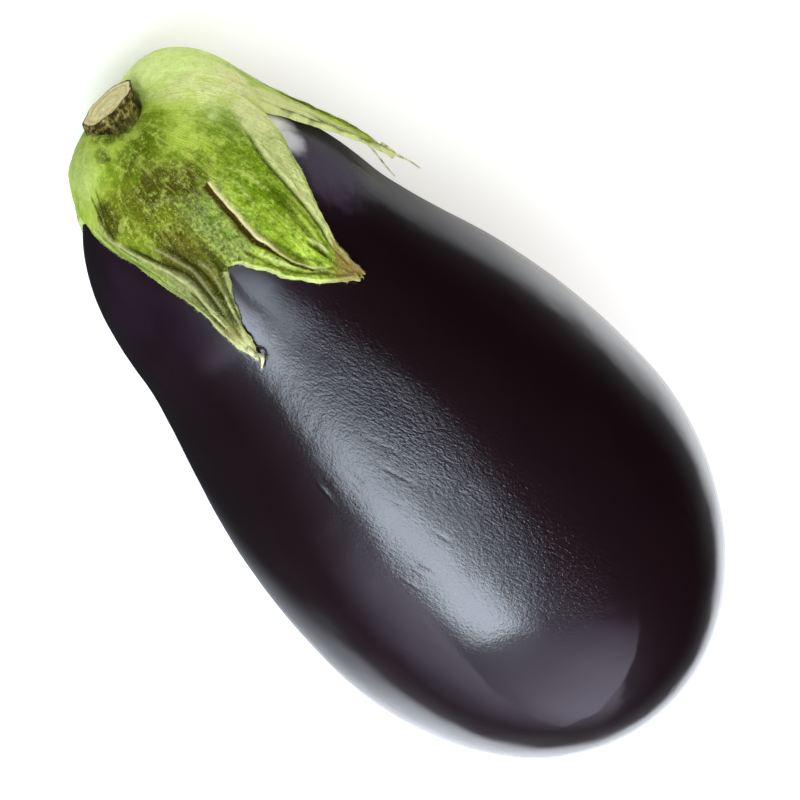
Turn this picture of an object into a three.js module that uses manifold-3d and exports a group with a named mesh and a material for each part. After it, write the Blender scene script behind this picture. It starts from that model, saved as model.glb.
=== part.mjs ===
// A globe eggplant as picked, lying on its side: the glossy fruit, the five-lobed green calyx that
// clasps its shoulder, and the short cut stem that stands in the calyx. Millimetres, +Z up.
// The part's origin is the centre of the small flat spot that the fruit rests on.
// The fruit's own axis leaves the stem end towards +X, and rises a little, because the fruit is
// thickest near its far end and lies on its flank.

import * as THREE from "three";
import { mergeVertices } from "three/addons/utils/BufferGeometryUtils.js";
import Module from "manifold-3d";

const wasm = await Module();
wasm.setup();

const degrees = THREE.MathUtils.degToRad;
const { lerp, smoothstep } = THREE.MathUtils;

// The fruit's profile: distance along the axis from the top of the shoulder, and radius there.
const FRUIT_LENGTH = 177;
const BELLY = { along: 116, radius: 48.4 };
const NECK = { along: 40, radius: 33.3, slope: degrees(7) };
const SHOULDER_FLATNESS = 19;
const BLOSSOM_END_FLATNESS = 29.5;
const DIMPLE = { depth: 1.6, radius: 6 };

// The fruit is not quite round: its shoulder is fuller on one side, and its far end leans the other way.
const FULL_SHOULDER = { angle: degrees(112), spread: degrees(58), height: 1.8, reach: 21, width: 12 };
const END_LEAN = 1.4;

// The weight's centre, from the shoulder's top along the axis. The fruit lies on the flank under it,
// on a spot that its weight has pressed flat.
const WEIGHT_ALONG = 95;
const SPOT_DEPTH = 0.7;

// The calyx lies on the skin with a thin gap. Its outline is given by places on the skin: a reach in
// millimetres over the skin from the stem's centre, and an angle in degrees round the stem, from 0 on
// the upper side towards +Y.
const SKIN_GAP = 0.35;
const STEM_HOLE = 7.5;
// The share of a lobe's length, from the stem, over which it is joined to its neighbours.
const CUP_END = 0.45;
const SINUSES = [
  [43.5, -6],
  [25.5, 68],
  [28, 127],
  [31, 202],
  [17.5, 249],
  [18.5, 286],
];
// Each lobe lies between its own sinus and the next one, and its edges run from these to its tip.
// Lift is how far the lobe's far half stands off the skin, ripple is how much its edges wave, and lag
// is how far the lobe's grid lines hang back between its edges. The fifth lobe never grew out.
const LOBES = [
  {
    tip: [64.3, 24.8],
    before: [[44.9, -2.2], [49.4, 2.8], [54.4, 7.5], [60.6, 15.8]],
    after: [[30.6, 63], [34.2, 56.6], [38.1, 48.2], [42.4, 41.9], [48.6, 33.7], [55.2, 28.6]],
    lift: 0.5,
    ripple: 0.3,
  },
  {
    tip: [60, 86],
    before: [[30.6, 70], [35.5, 72.5], [40.6, 74], [45.1, 75.5], [50.5, 78], [56, 82]],
    after: [[31, 119], [35, 110], [42, 100], [50, 93]],
    lift: 3.7,
    ripple: 0.3,
    lag: 4,
  },
  {
    tip: [57, 160],
    before: [[33, 133], [40, 144], [48, 154]],
    after: [[35, 191], [42, 179], [50, 167]],
    lift: 0.3,
    ripple: 0.4,
  },
  {
    tip: [58, 222],
    before: [[38, 206], [46, 211], [53, 217]],
    after: [[22, 242], [28, 236], [38, 231], [48, 227]],
    lift: 0.6,
    ripple: 0.4,
    lag: 7,
  },
  {
    tip: [20.5, 268],
    before: [[18.8, 254], [19.8, 260]],
    after: [[19.5, 281], [20.2, 275]],
    lift: 0,
    ripple: 0,
  },
  {
    tip: [61.2, 340.5],
    before: [[22.1, 299], [26.6, 311], [31.6, 322], [38.4, 329], [46.2, 335], [55, 336.5]],
    after: [[46.3, 350.8], [51.1, 346.5], [55.1, 343.8]],
    lift: 0.6,
    ripple: 0.3,
    lag: 6,
  },
];
const CUP_THICKNESS = 3.2;
const LOBE_THICKNESS = 2.1;
const TIP_THICKNESS = 1.1;
const TIP_HALF_ANGLE = 1.4;
const MARGIN_THINNING = 0.4;
const RIB = { height: 0.7, width: 0.3 };
// The cup's flesh is thicker round the stem on the under side, and swells most on one flank.
const COLLAR = { height: 3.8, angle: degrees(210), spread: degrees(75), reach: 8.5, width: 6.2 };
const CUSHION = { height: 7.2, angle: degrees(118), spread: degrees(50), reach: 15.3, width: 9.5 };
const BRIM = { rounding: 0.1, over: 2.5 };
// The fold that runs down the first lobe: one side stands over the other by its height.
const FOLD = { height: 1.3, from: 30, to: 60, nearest: degrees(7.5), bend: degrees(0.037), middle: 43 };

// The stem's stub flares a little to its cut end, which leans to one side and is cut a little off square.
const STEM = { foot: 0.4, height: 7.8, footRadius: 6.6, waistRadius: 6.3, cutRadius: 6.7 };
const STEM_LEAN = 2.2;
const STEM_CUT_TILT = degrees(4);
const STEM_RIDGES = { count: 7, depth: 0.035 };

const FRUIT_SIDES = 72;
const FRUIT_RINGS = 44;
const LOBE_STEPS = 20;
const LOBE_STRIPS = 16;
const STEM_SIDES = 28;

const fruitMaterial = new THREE.MeshStandardMaterial({ name: "skin", color: 0x1c0f18, roughness: 0.18, metalness: 0 });
const calyxMaterial = new THREE.MeshStandardMaterial({ name: "calyx", color: 0x86a83a, roughness: 0.75, metalness: 0 });
const stemMaterial = new THREE.MeshStandardMaterial({ name: "stem", color: 0x7a6236, roughness: 0.9, metalness: 0 });

// The profile in the plane of (along, radius), from the shoulder's top to the blossom end.
function fruitProfile() {
  const neck = new THREE.Vector2(NECK.along, NECK.radius);
  const slope = new THREE.Vector2(Math.cos(NECK.slope), Math.sin(NECK.slope));
  const belly = new THREE.Vector2(BELLY.along, BELLY.radius);
  const shoulderPull = 24;
  const neckPull = 17;
  const bellyPull = { before: 39, after: 31 };
  const profile = new THREE.CurvePath();
  profile.add(
    new THREE.CubicBezierCurve(
      new THREE.Vector2(0, 0),
      new THREE.Vector2(0, SHOULDER_FLATNESS),
      neck.clone().addScaledVector(slope, -shoulderPull),
      neck,
    ),
  );
  profile.add(
    new THREE.CubicBezierCurve(
      neck,
      neck.clone().addScaledVector(slope, neckPull),
      new THREE.Vector2(BELLY.along - bellyPull.before, BELLY.radius),
      belly,
    ),
  );
  profile.add(
    new THREE.CubicBezierCurve(
      belly,
      new THREE.Vector2(BELLY.along + bellyPull.after, BELLY.radius),
      new THREE.Vector2(FRUIT_LENGTH, BLOSSOM_END_FLATNESS),
      new THREE.Vector2(FRUIT_LENGTH, 0),
    ),
  );
  return profile;
}

const profile = fruitProfile();
const PROFILE_LENGTH = profile.getLength();

// A smooth hump of one round an angle and a reach.
function hump(reach, angle, place) {
  const round = Math.atan2(Math.sin(angle - place.angle), Math.cos(angle - place.angle)) / place.spread;
  const out = (reach - place.reach) / place.width;
  return Math.exp(-round * round - out * out);
}

// The point of the skin at a reach from the stem and an angle round it, raised along the profile's normal.
function skinPoint(reach, angle, height = 0) {
  const share = THREE.MathUtils.clamp(reach / PROFILE_LENGTH, 0, 1);
  const at = profile.getPointAt(share);
  const way = profile.getTangentAt(share);
  const raised = height + FULL_SHOULDER.height * hump(reach, angle, FULL_SHOULDER);
  const dimple = DIMPLE.depth * Math.exp(-((at.y / DIMPLE.radius) ** 2)) * smoothstep(share, 0.5, 1);
  const along = at.x - way.y * raised - dimple;
  const radius = Math.max(0, at.y + way.x * raised);
  const lean = -END_LEAN * smoothstep(along, BELLY.along, FRUIT_LENGTH);
  return new THREE.Vector3(along, radius * Math.sin(angle) + lean, radius * Math.cos(angle));
}

// A closed mesh from its triangles' corners, with shared vertices merged.
function geometryOf(corners) {
  const flat = new Float32Array(corners.length * 3);
  corners.forEach((p, i) => p.toArray(flat, i * 3));
  const loose = new THREE.BufferGeometry().setAttribute("position", new THREE.BufferAttribute(flat, 3));
  return mergeVertices(loose, 1e-3);
}

function solidOf(geometry) {
  return new wasm.Manifold(
    new wasm.Mesh({
      numProp: 3,
      vertProperties: geometry.attributes.position.array,
      triVerts: new Uint32Array(geometry.index.array),
    }),
  );
}

function geometryOfSolid(solid) {
  const mesh = solid.getMesh();
  const geometry = new THREE.BufferGeometry()
    .setAttribute("position", new THREE.BufferAttribute(new Float32Array(mesh.vertProperties), 3))
    .setIndex(new THREE.BufferAttribute(new Uint32Array(mesh.triVerts), 1));
  geometry.computeVertexNormals();
  return geometry;
}

// Two triangles for the four corners of a patch, in order round it.
function patch(corners, a, b, c, d) {
  corners.push(a, b, c, a, c, d);
}

// The fruit: rings of points from the shoulder's top to the blossom end, and a flat spot cut at the floor.
function fruitGeometry(floor) {
  const corners = [];
  const reachOf = (ring) => PROFILE_LENGTH * (0.5 - 0.5 * Math.cos((Math.PI * ring) / FRUIT_RINGS)) ** 0.94;
  const angleOf = (side) => (2 * Math.PI * (side % FRUIT_SIDES)) / FRUIT_SIDES;
  const point = (ring, side) => skinPoint(reachOf(ring), ring % FRUIT_RINGS ? angleOf(side) : 0);
  for (let ring = 0; ring < FRUIT_RINGS; ring++)
    for (let side = 0; side < FRUIT_SIDES; side++) {
      const a = point(ring, side);
      const b = point(ring + 1, side);
      const c = point(ring + 1, side + 1);
      const d = point(ring, side + 1);
      if (ring === 0) corners.push(a, b, c);
      else if (ring === FRUIT_RINGS - 1) corners.push(a, b, d);
      else patch(corners, a, b, c, d);
    }
  return geometryOfSolid(solidOf(geometryOf(corners)).subtract(solidOf(floor)));
}

// Where a lobe's edge runs: along the line between two lobes up to the sinus, then through the edge's
// own places to the tip. The turn is a full one where the sinus is counted from the first lobe again.
function edgePlace(lobe, sinus, places, side, turn, u) {
  const [reach, angle] = [sinus[0], sinus[1] + turn];
  if (u <= CUP_END) return { reach: lerp(STEM_HOLE, reach, u / CUP_END), angle: degrees(angle) };
  const ends = [lobe.tip[0], lobe.tip[1] + side * TIP_HALF_ANGLE];
  const outline = new THREE.SplineCurve([[reach, angle], ...places, ends].map((p) => new THREE.Vector2(...p)));
  const at = outline.getPoint((u - CUP_END) / (1 - CUP_END));
  return { reach: at.x, angle: degrees(at.y) };
}

// A lobe's point at u out from the stem and v across, from -1 to 1, as a reach and an angle.
function lobePlace(index, u, v) {
  const lobe = LOBES[index];
  const last = index === LOBES.length - 1;
  const a = edgePlace(lobe, SINUSES[index], lobe.before, -1, 0, u);
  const b = edgePlace(lobe, SINUSES[last ? 0 : index + 1], lobe.after, 1, last ? 360 : 0, u);
  const across = (v + 1) / 2;
  const middle = lerp(STEM_HOLE, lobe.tip[0], u) - (lobe.lag ?? 0) * 4 * u * (1 - u);
  const bulge = (1 - v * v) * (middle - (a.reach + b.reach) / 2);
  return { reach: lerp(a.reach, b.reach, across) + bulge, angle: lerp(a.angle, b.angle, across) };
}

// How far the fold raises the lobe's flesh at a place, up to its steep edge.
function foldHeight(place) {
  const edge = FOLD.nearest + FOLD.bend * (place.reach - FOLD.middle) ** 2;
  const past = place.angle - edge;
  const fade = smoothstep(place.reach, FOLD.from - 4, FOLD.from + 4) * (1 - smoothstep(place.reach, FOLD.to - 6, FOLD.to));
  return FOLD.height * fade * smoothstep(past, degrees(-1.5), degrees(1)) * (1 - smoothstep(past, degrees(8), degrees(26)));
}

// Under and upper heights of the calyx over the skin.
function lobeHeights(index, u, v, place) {
  const lobe = LOBES[index];
  const free = smoothstep(u, CUP_END, 1);
  const lift = lobe.lift * free * (0.35 + 0.65 * free);
  const wave = lobe.ripple * free * (1 - free) * v * v * v * Math.sin(9 * u + 2 * index) * 2;
  const under = SKIN_GAP + lift + Math.max(0, wave);
  const flesh = u < CUP_END ? lerp(CUP_THICKNESS, LOBE_THICKNESS, u / CUP_END) : lerp(LOBE_THICKNESS, TIP_THICKNESS, free);
  const margin = 1 - MARGIN_THINNING * v ** 4 * smoothstep(u, CUP_END - 0.1, CUP_END + 0.15);
  const rib = RIB.height * Math.exp(-((v / RIB.width) ** 2)) * smoothstep(u, 0.1, 0.4) * (1 - free);
  const swelling = COLLAR.height * hump(place.reach, place.angle, COLLAR) + CUSHION.height * hump(place.reach, place.angle, CUSHION);
  const fold = index === 0 ? foldHeight(place) * (1 - v * v) : 0;
  const brim = 1 - BRIM.rounding * (1 - smoothstep(place.reach, STEM_HOLE, STEM_HOLE + BRIM.over));
  return { under, upper: under + (flesh * margin + rib + swelling + fold) * brim };
}

// The calyx's point at a height over a place. Round the stem its flesh stands up along the stem's side.
function calyxPoint(place, height) {
  const over = skinPoint(place.reach, place.angle, height);
  const upright = skinPoint(place.reach, place.angle);
  upright.x -= height;
  upright.y += STEM_LEAN * (height / STEM.height) ** 2;
  return over.lerp(upright, 1 - smoothstep(place.reach, STEM_HOLE, STEM_HOLE + 6));
}

// The calyx as one shell: its upper and under faces lobe by lobe, with a wall along every free edge.
function calyxGeometry() {
  const corners = [];
  const vOf = (j) => Math.sin(((2 * j) / LOBE_STRIPS - 1) * (Math.PI / 2) * 0.8) / Math.sin((Math.PI / 2) * 0.8);
  LOBES.forEach((_, index) => {
    const node = (i, j) => {
      const u = i / LOBE_STEPS;
      const v = j === 0 ? -1 : j === LOBE_STRIPS ? 1 : vOf(j);
      const place = lobePlace(index, u, v);
      const { under, upper } = lobeHeights(index, u, v, place);
      return { upper: calyxPoint(place, upper), under: calyxPoint(place, under) };
    };
    const grid = Array.from({ length: LOBE_STEPS + 1 }, (_, i) =>
      Array.from({ length: LOBE_STRIPS + 1 }, (_, j) => node(i, j)),
    );
    const wall = (a, b) => patch(corners, a.upper, a.under, b.under, b.upper);
    for (let i = 0; i < LOBE_STEPS; i++) {
      for (let j = 0; j < LOBE_STRIPS; j++) {
        const [a, b, c, d] = [grid[i][j], grid[i + 1][j], grid[i + 1][j + 1], grid[i][j + 1]];
        patch(corners, a.upper, b.upper, c.upper, d.upper);
        corners.push(a.under, c.under, b.under, a.under, d.under, c.under);
      }
      if (i / LOBE_STEPS >= CUP_END) {
        wall(grid[i][0], grid[i + 1][0]);
        wall(grid[i + 1][LOBE_STRIPS], grid[i][LOBE_STRIPS]);
      }
    }
    for (let j = 0; j < LOBE_STRIPS; j++) {
      wall(grid[0][j + 1], grid[0][j]);
      wall(grid[LOBE_STEPS][j], grid[LOBE_STEPS][j + 1]);
    }
  });
  return geometryOf(corners);
}

// The stem's stub: a lathed post with shallow ridges down its side, leaning as it rises to its cut top.
function stemGeometry() {
  const { height, footRadius, waistRadius, cutRadius } = STEM;
  const bevel = 0.4;
  const outline = [
    new THREE.Vector2(0, 0),
    new THREE.Vector2(footRadius, 0),
    new THREE.Vector2(waistRadius, height * 0.3),
    new THREE.Vector2(waistRadius, height * 0.55),
    new THREE.Vector2(lerp(waistRadius, cutRadius, 0.7), height * 0.8),
    new THREE.Vector2(cutRadius, height - bevel),
    new THREE.Vector2(cutRadius - bevel, height),
    new THREE.Vector2(0, height),
  ];
  const lathed = new THREE.LatheGeometry(outline, STEM_SIDES);
  lathed.deleteAttribute("normal");
  lathed.deleteAttribute("uv");
  const geometry = mergeVertices(lathed, 1e-3);
  geometry.rotateZ(Math.PI / 2);
  const points = geometry.attributes.position;
  for (let i = 0; i < points.count; i++) {
    const p = new THREE.Vector3().fromBufferAttribute(points, i);
    const up = -p.x / height;
    const round = Math.atan2(p.y, p.z);
    const ridge = 1 + STEM_RIDGES.depth * Math.cos(STEM_RIDGES.count * round) * smoothstep(up, 0, 0.4);
    const cut = Math.tan(STEM_CUT_TILT) * p.z * smoothstep(up, 0.7, 1);
    points.setXYZ(i, p.x - STEM.foot + cut, p.y * ridge + STEM_LEAN * up * up, p.z * ridge);
  }
  return geometry;
}

// Where the flank under the weight's centre touches the floor, in the profile's plane, and its slope there.
function restingPlace() {
  const weight = new THREE.Vector2(WEIGHT_ALONG, 0);
  const shares = Array.from({ length: 1000 }, (_, i) => i / 1000);
  const distance = (share) => profile.getPointAt(share).distanceTo(weight);
  const share = shares.reduce((best, next) => (distance(next) < distance(best) ? next : best));
  return { at: profile.getPointAt(share), slope: profile.getTangentAt(share).angle() };
}

// The group that lays the fruit down: turned so that the flank is level at the spot, with the spot's
// centre at the origin and the skin there pressed in by the spot's depth.
function layDown() {
  const { at, slope } = restingPlace();
  const group = new THREE.Group();
  group.rotation.y = -slope;
  group.updateMatrix();
  const touch = new THREE.Vector3(at.x, 0, -at.y).applyMatrix4(group.matrix);
  group.position.set(-touch.x, 0, -touch.z - SPOT_DEPTH);
  group.updateMatrix();
  return group;
}

// The floor, as a slab in the fruit's own frame.
function floorGeometry(group) {
  const slab = { side: 260, thickness: 20 };
  const box = new THREE.BoxGeometry(slab.side, slab.side, slab.thickness).translate(0, 0, -slab.thickness / 2);
  box.deleteAttribute("normal");
  box.deleteAttribute("uv");
  return mergeVertices(box, 1e-3).applyMatrix4(group.matrix.clone().invert());
}

function piece(name, geometry, material) {
  const mesh = new THREE.Mesh(geometry, material);
  mesh.name = name;
  return mesh;
}

const eggplant = layDown();
eggplant.add(piece("fruit", fruitGeometry(floorGeometry(eggplant)), fruitMaterial));
eggplant.add(piece("calyx", calyxGeometry(), calyxMaterial));
eggplant.add(piece("stem", stemGeometry(), stemMaterial));

export default eggplant;
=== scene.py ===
"""Looks for a globe eggplant that lies on its flank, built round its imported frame.

The fruit's own axis runs from its stem end to its blossom end. A place on its skin is a reach, in
millimetres over the skin from the stem's centre, and a turn, in radians round the stem from the upper
side towards +Y. Meshes are worked out in millimetres along that axis, then laid down in metres.
"""

import math

import bmesh
import bpy
import numpy as np
from bpy.props import FloatProperty, FloatVectorProperty, IntProperty, PointerProperty
from mathutils import Matrix, Vector


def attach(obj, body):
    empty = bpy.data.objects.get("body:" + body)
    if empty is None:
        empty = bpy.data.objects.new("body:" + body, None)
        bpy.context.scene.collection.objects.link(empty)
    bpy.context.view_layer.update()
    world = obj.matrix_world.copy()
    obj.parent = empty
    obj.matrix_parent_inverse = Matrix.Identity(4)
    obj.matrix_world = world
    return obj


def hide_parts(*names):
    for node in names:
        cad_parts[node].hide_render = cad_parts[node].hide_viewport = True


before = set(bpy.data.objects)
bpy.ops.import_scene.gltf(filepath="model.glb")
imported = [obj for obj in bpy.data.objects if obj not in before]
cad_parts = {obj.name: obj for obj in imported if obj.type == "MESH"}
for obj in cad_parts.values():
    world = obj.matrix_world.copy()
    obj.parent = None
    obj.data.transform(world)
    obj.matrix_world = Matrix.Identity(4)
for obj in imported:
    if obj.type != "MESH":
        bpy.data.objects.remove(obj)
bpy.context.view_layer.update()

bl_info = {
    "name": "Eggplant",
    "version": (1, 0, 0),
    "blender": (4, 5, 0),
    "location": "View3D > Sidebar > Eggplant",
    "description": "Builds a glossy globe eggplant with its calyx and cut stem",
    "category": "Add Mesh",
}

MM = 0.001
BODY = "root"


def swell(height, turn, spread, reach, width):
    """A swelling's height, its middle and how far it spreads, with both angles given in degrees."""
    angles = {"turn": math.radians(turn), "spread": math.radians(spread)}
    return {"height": height, "reach": reach, "width": width, **angles}


# The fruit's profile, as in the part's source: distance along the axis and radius there.
LENGTH = 177.0
BELLY = (116.0, 48.4)
NECK = (40.0, 33.3)
NECK_SLOPE = math.radians(7)
SHOULDER_FLATNESS = 19.0
BLOSSOM_END_FLATNESS = 29.5
SHOULDER_PULL = 24.0
NECK_PULL = 17.0
BELLY_PULL_BEFORE = 39.0
BELLY_PULL_AFTER = 31.0
DIMPLE_DEPTH = 1.6
DIMPLE_RADIUS = 6.0
SHOULDER = swell(height=1.8, turn=112, spread=58, reach=21.0, width=12.0)
END_LEAN = 1.4
WEIGHT_ALONG = 95.0
SPOT_DEPTH = 0.7

# How far the far end may reach in the part's frame, just inside the solid's own end.
FAR_END = 81.05

# The calyx, as in the part's source. Outline places are a reach and an angle in degrees. Each lobe has its
# tip, the places before and after it on its edge, how far it lifts off the skin, how strongly its sides
# ripple, how far its middle lags behind its sides, how high its ribs stand, and the points it ends in.
SKIN_GAP = 0.2
STEM_HOLE = 7.0
CUP_END = 0.45
LOBE_START = 0.06
SINUSES = [(43.5, -6), (25.5, 68), (28, 127), (31, 202), (17.5, 249), (18.5, 286)]
LOBES = [
    {
        "tip": (64.3, 24.8),
        "before": [(44.9, -2.2), (49.4, 2.8), (54.4, 7.5), (60.6, 15.8)],
        "after": [(30.6, 63), (34.2, 56.6), (38.1, 48.2), (42.4, 41.9), (48.6, 33.7), (55.2, 28.6)],
        "lift": 0.5,
        "ripple": 0.3,
        "lag": 0,
        "rib": 0.18,
        "points": 3,
    },
    {
        "tip": (60, 86),
        "before": [(30.6, 70), (35.5, 72.5), (40.6, 74), (45.1, 75.5), (50.5, 78), (56, 82)],
        "after": [(31, 119), (35, 110), (42, 100), (50, 93)],
        "lift": 3.7,
        "ripple": 0.3,
        "lag": 4,
        "rib": 0.25,
        "points": 1,
    },
    {
        "tip": (57, 160),
        "before": [(33, 133), (40, 144), (48, 154)],
        "after": [(35, 191), (42, 179), (50, 167)],
        "lift": 0.3,
        "ripple": 0.4,
        "lag": 0,
        "rib": 0.25,
        "points": 2,
    },
    {
        "tip": (58, 222),
        "before": [(38, 206), (46, 211), (53, 217)],
        "after": [(22, 242), (28, 236), (38, 231), (48, 227)],
        "lift": 0.6,
        "ripple": 0.4,
        "lag": 7,
        "rib": 0.25,
        "points": 1,
    },
    {
        "tip": (20.5, 268),
        "before": [(18.8, 254), (19.8, 260)],
        "after": [(19.5, 281), (20.2, 275)],
        "lift": 0,
        "ripple": 0,
        "lag": 0,
        "rib": 0.1,
        "points": 0,
    },
    {
        "tip": (61.2, 340.5),
        "before": [(22.1, 299), (26.6, 311), (31.6, 322), (38.4, 329), (46.2, 335), (55, 336.5)],
        "after": [(46.3, 350.8), (51.1, 346.5), (55.1, 343.8)],
        "lift": 0.6,
        "ripple": 0.3,
        "lag": 6,
        "rib": 0.5,
        "points": 1,
    },
]
CUP_THICKNESS = 3.2
LOBE_THICKNESS = 2.1
TIP_THICKNESS = 1.1
TIP_HALF_ANGLE = 1.4
RIB_WIDTH = 0.3
COLLAR = swell(height=3.8, turn=210, spread=75, reach=8.5, width=6.2)
CUSHION = swell(height=7.2, turn=118, spread=50, reach=15.3, width=9.5)
FRONT_COLLAR = swell(height=4.2, turn=305, spread=45, reach=8.5, width=4.5)

# The fold of the largest lobe: its edge, and how far its right side stands over its left side.
FOLD_HEIGHT = 1.3
FOLD_EDGE = [
    (28.5, 12.5),
    (31, 11.8),
    (33.7, 11.1),
    (38.7, 9.9),
    (43, 9.2),
    (46.5, 10.4),
    (49.5, 11.1),
    (53.2, 12.9),
    (58, 17),
]

# Past the fold's ends, every place counts as this far from its edge.
NO_FOLD = 50.0

# Lines over the calyx that its creases and pale bands share, or that are too long for one row.
FIRST_MARGIN = [(28, 46.4), (32.8, 37.9), (36.8, 33.9), (41.5, 31.6), (49.2, 28.1), (56, 25)]
LONG_RIDGE_FOOT = [(23.5, 312.7), (28.6, 324), (34.1, 332.4)]
LAST_GROOVE = [(26.7, 322), (32.1, 330.9), (36.8, 337.7), (40.3, 341), (45.7, 341.6)]
LAST_RIDGE = [(30.6, 334.9), (33.8, 338.7), (36.8, 341.6), (40.2, 343.7), (46.8, 343)]
INNER_GROOVE = [(31.3, 338.7), (34.8, 342.1), (39.2, 345.2), (43.9, 346.1), (50.6, 343.9)]

# Grooves and ridges seen on the calyx: the lobe, the height over the flesh (a groove's is negative), half
# the width, how strongly it is coloured, and places along it.
CREASES = [
    (0, -0.45, 0.50, 0.9, FIRST_MARGIN),
    (0, 0.30, 0.50, 0.4, [(30.7, 44.4), (33.6, 39.8), (37.4, 36.2), (41.9, 33.7), (46, 32.2), (52, 28.6)]),
    (0, -0.60, 0.32, 1.0, [(51.4, 19.5), (54.5, 20.9), (56.4, 21.4)]),
    (0, 0.25, 0.35, 0.5, [(50.6, 20.4), (53.6, 22), (56.2, 22.6)]),
    (0, -0.45, 0.38, 0.9, [(42.8, 2.1), (44.7, 3.1), (47.3, 4.8), (50.8, 7.2), (55.4, 12.2), (59.9, 19.7)]),
    (0, 0.25, 0.40, 0.5, [(45.5, 5.2), (50, 8.6), (54.2, 12.8), (58.6, 19.3)]),
    (0, -0.30, 0.32, 0.8, [(49.5, 10.4), (53.2, 12), (56.5, 15.6), (59.5, 21.4)]),
    (0, -0.22, 0.32, 0.7, [(51.7, 13.2), (54, 16.2), (57, 19.3)]),
    (0, 0.20, 0.40, 0.18, [(32.1, 19.1), (34.5, 19.1), (36.6, 18.2), (39.5, 16.4)]),
    (0, 0.15, 0.40, 0.15, [(30.2, 22.7), (33, 23.6), (36, 24.5), (40, 24.8)]),
    (0, 0.14, 0.40, 0.10, [(42, 20), (46, 19.5), (49.5, 19)]),
    (0, -0.16, 0.45, 0.5, [(40, 28), (46, 26.5), (52, 24.8), (57, 23.9)]),
    (5, 0.45, 0.50, 0.5, [*LONG_RIDGE_FOOT, (39.9, 338.6), (43, 339.9), (48, 339.4), (55.4, 340)]),
    (5, -0.35, 0.30, 0.8, [(24.9, 315), (28.8, 322.4), (32.1, 327.6)]),
    (5, -0.35, 0.30, 0.8, [(42, 337.4), (46.3, 338.2), (49.9, 338.2), (54, 339)]),
    (5, -0.70, 0.60, 1.0, [*LAST_GROOVE, (52.5, 340.9)]),
    (5, 0.55, 0.50, 0.3, [*LAST_RIDGE, (54.7, 341.7)]),
    (5, -0.75, 0.60, 1.0, [*INNER_GROOVE, (55.5, 342.4)]),
    (5, 0.50, 0.45, 0.25, [(38, 347.5), (41.9, 348.9), (45.1, 347.6), (51.8, 344.9), (56.5, 342.9)]),
    (5, -0.50, 0.50, 1.0, [(39, 352.5), (43.2, 351.4), (46.3, 348.9), (50.4, 346.2), (55.1, 343.6)]),
    (5, -0.15, 0.55, 1.0, [(14.5, 312.5), (19.6, 316.6), (24.2, 318.3), (26.5, 320.6)]),
    (5, -0.10, 0.50, 0.9, [(15.5, 305), (18.7, 310.5), (21.6, 315)]),
    (5, -0.12, 0.50, 0.9, [(18, 318.6), (22.5, 322), (26, 323.5)]),
    (5, 0.30, 0.50, 0.12, [(25.4, 346), (25.8, 351.5), (26.4, 356)]),
    (0, 0.30, 0.50, 0.12, [(25.8, -8.5), (26.5, -5.3), (28.9, -2.6)]),
    # The lifted lobe's dark lines along its lower margin and upper edge are painted shadow.
    (1, -0.35, 0.50, 1.0, [(38, 79.5), (42.3, 78.3), (47, 78.6), (52, 81.5), (57, 84.5)]),
    (1, -0.30, 0.55, 0.9, [(28, 71.5), (35.5, 74), (40.6, 75.5), (45.1, 77), (50.5, 79.5), (56, 83.2)]),
    (1, -0.25, 1.20, 1.0, [(29, 97), (34, 93), (40, 90.5), (47, 89), (53, 88), (59, 87)]),
]

# The pale bands along the margins, between the margin and a line: the lobe, the side and the strength.
BANDS = [
    (0, 1, 1.0, [(26, 53), *FIRST_MARGIN]),
    (5, -1, 0.38, [(20, 309), *LAST_GROOVE, (56, 341)]),
    (1, -1, 1.0, [(26, 78), (32, 84), (40, 83), (48, 82), (56, 84)]),
]

# The stem's stub, as in the part's source.
STEM_FOOT = 0.4
STEM_RADIUS = 6.3
STEM_HEIGHT = 7.8
STEM_LEAN = 2.2
STEM_CUT_TILT = math.radians(4)

# The photograph's view: how far the fruit's axis tilts towards the camera, how far the picture is rolled,
# the place on the axis that the camera looks at, how far that is shifted, and the width that is seen.
VIEW_TILT = math.radians(20)
VIEW_ROLL = math.radians(46)
VIEW_ALONG = 88.0
VIEW_SHIFT = (-0.43, 5.0)
LENS = 150.0
SENSOR = 36.0
VIEW_WIDTH = 173.76
NEAREST_SEEN = 0.01

# Corners nearer to each other than this, in metres, are the same corner.
TOUCHING = 1e-6


def bell(off, width):
    """One where off is nought, falling smoothly to nought a width or two away."""
    return np.exp(-((off / width) ** 2))


def smoothstep(x, low, high):
    t = np.clip((x - low) / (high - low), 0, 1)
    return t * t * (3 - 2 * t)


def lerp(a, b, t):
    return a + (b - a) * t


def bezier(a, b, c, d, steps):
    t = np.linspace(0, 1, steps)[:, None]
    a, b, c, d = (np.array(p, float) for p in (a, b, c, d))
    return a * (1 - t) ** 3 + 3 * b * t * (1 - t) ** 2 + 3 * c * t * t * (1 - t) + d * t**3


def profile_segments():
    """The three curves of the profile, each as its start, two handles and end."""
    slope = np.array([math.cos(NECK_SLOPE), math.sin(NECK_SLOPE)])
    neck = np.array(NECK)
    return [
        ((0, 0), (0, SHOULDER_FLATNESS), tuple(neck - SHOULDER_PULL * slope), NECK),
        (NECK, tuple(neck + NECK_PULL * slope), (BELLY[0] - BELLY_PULL_BEFORE, BELLY[1]), BELLY),
        (BELLY, (BELLY[0] + BELLY_PULL_AFTER, BELLY[1]), (LENGTH, BLOSSOM_END_FLATNESS), (LENGTH, 0)),
    ]


PROFILE_STEPS = 300


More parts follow.
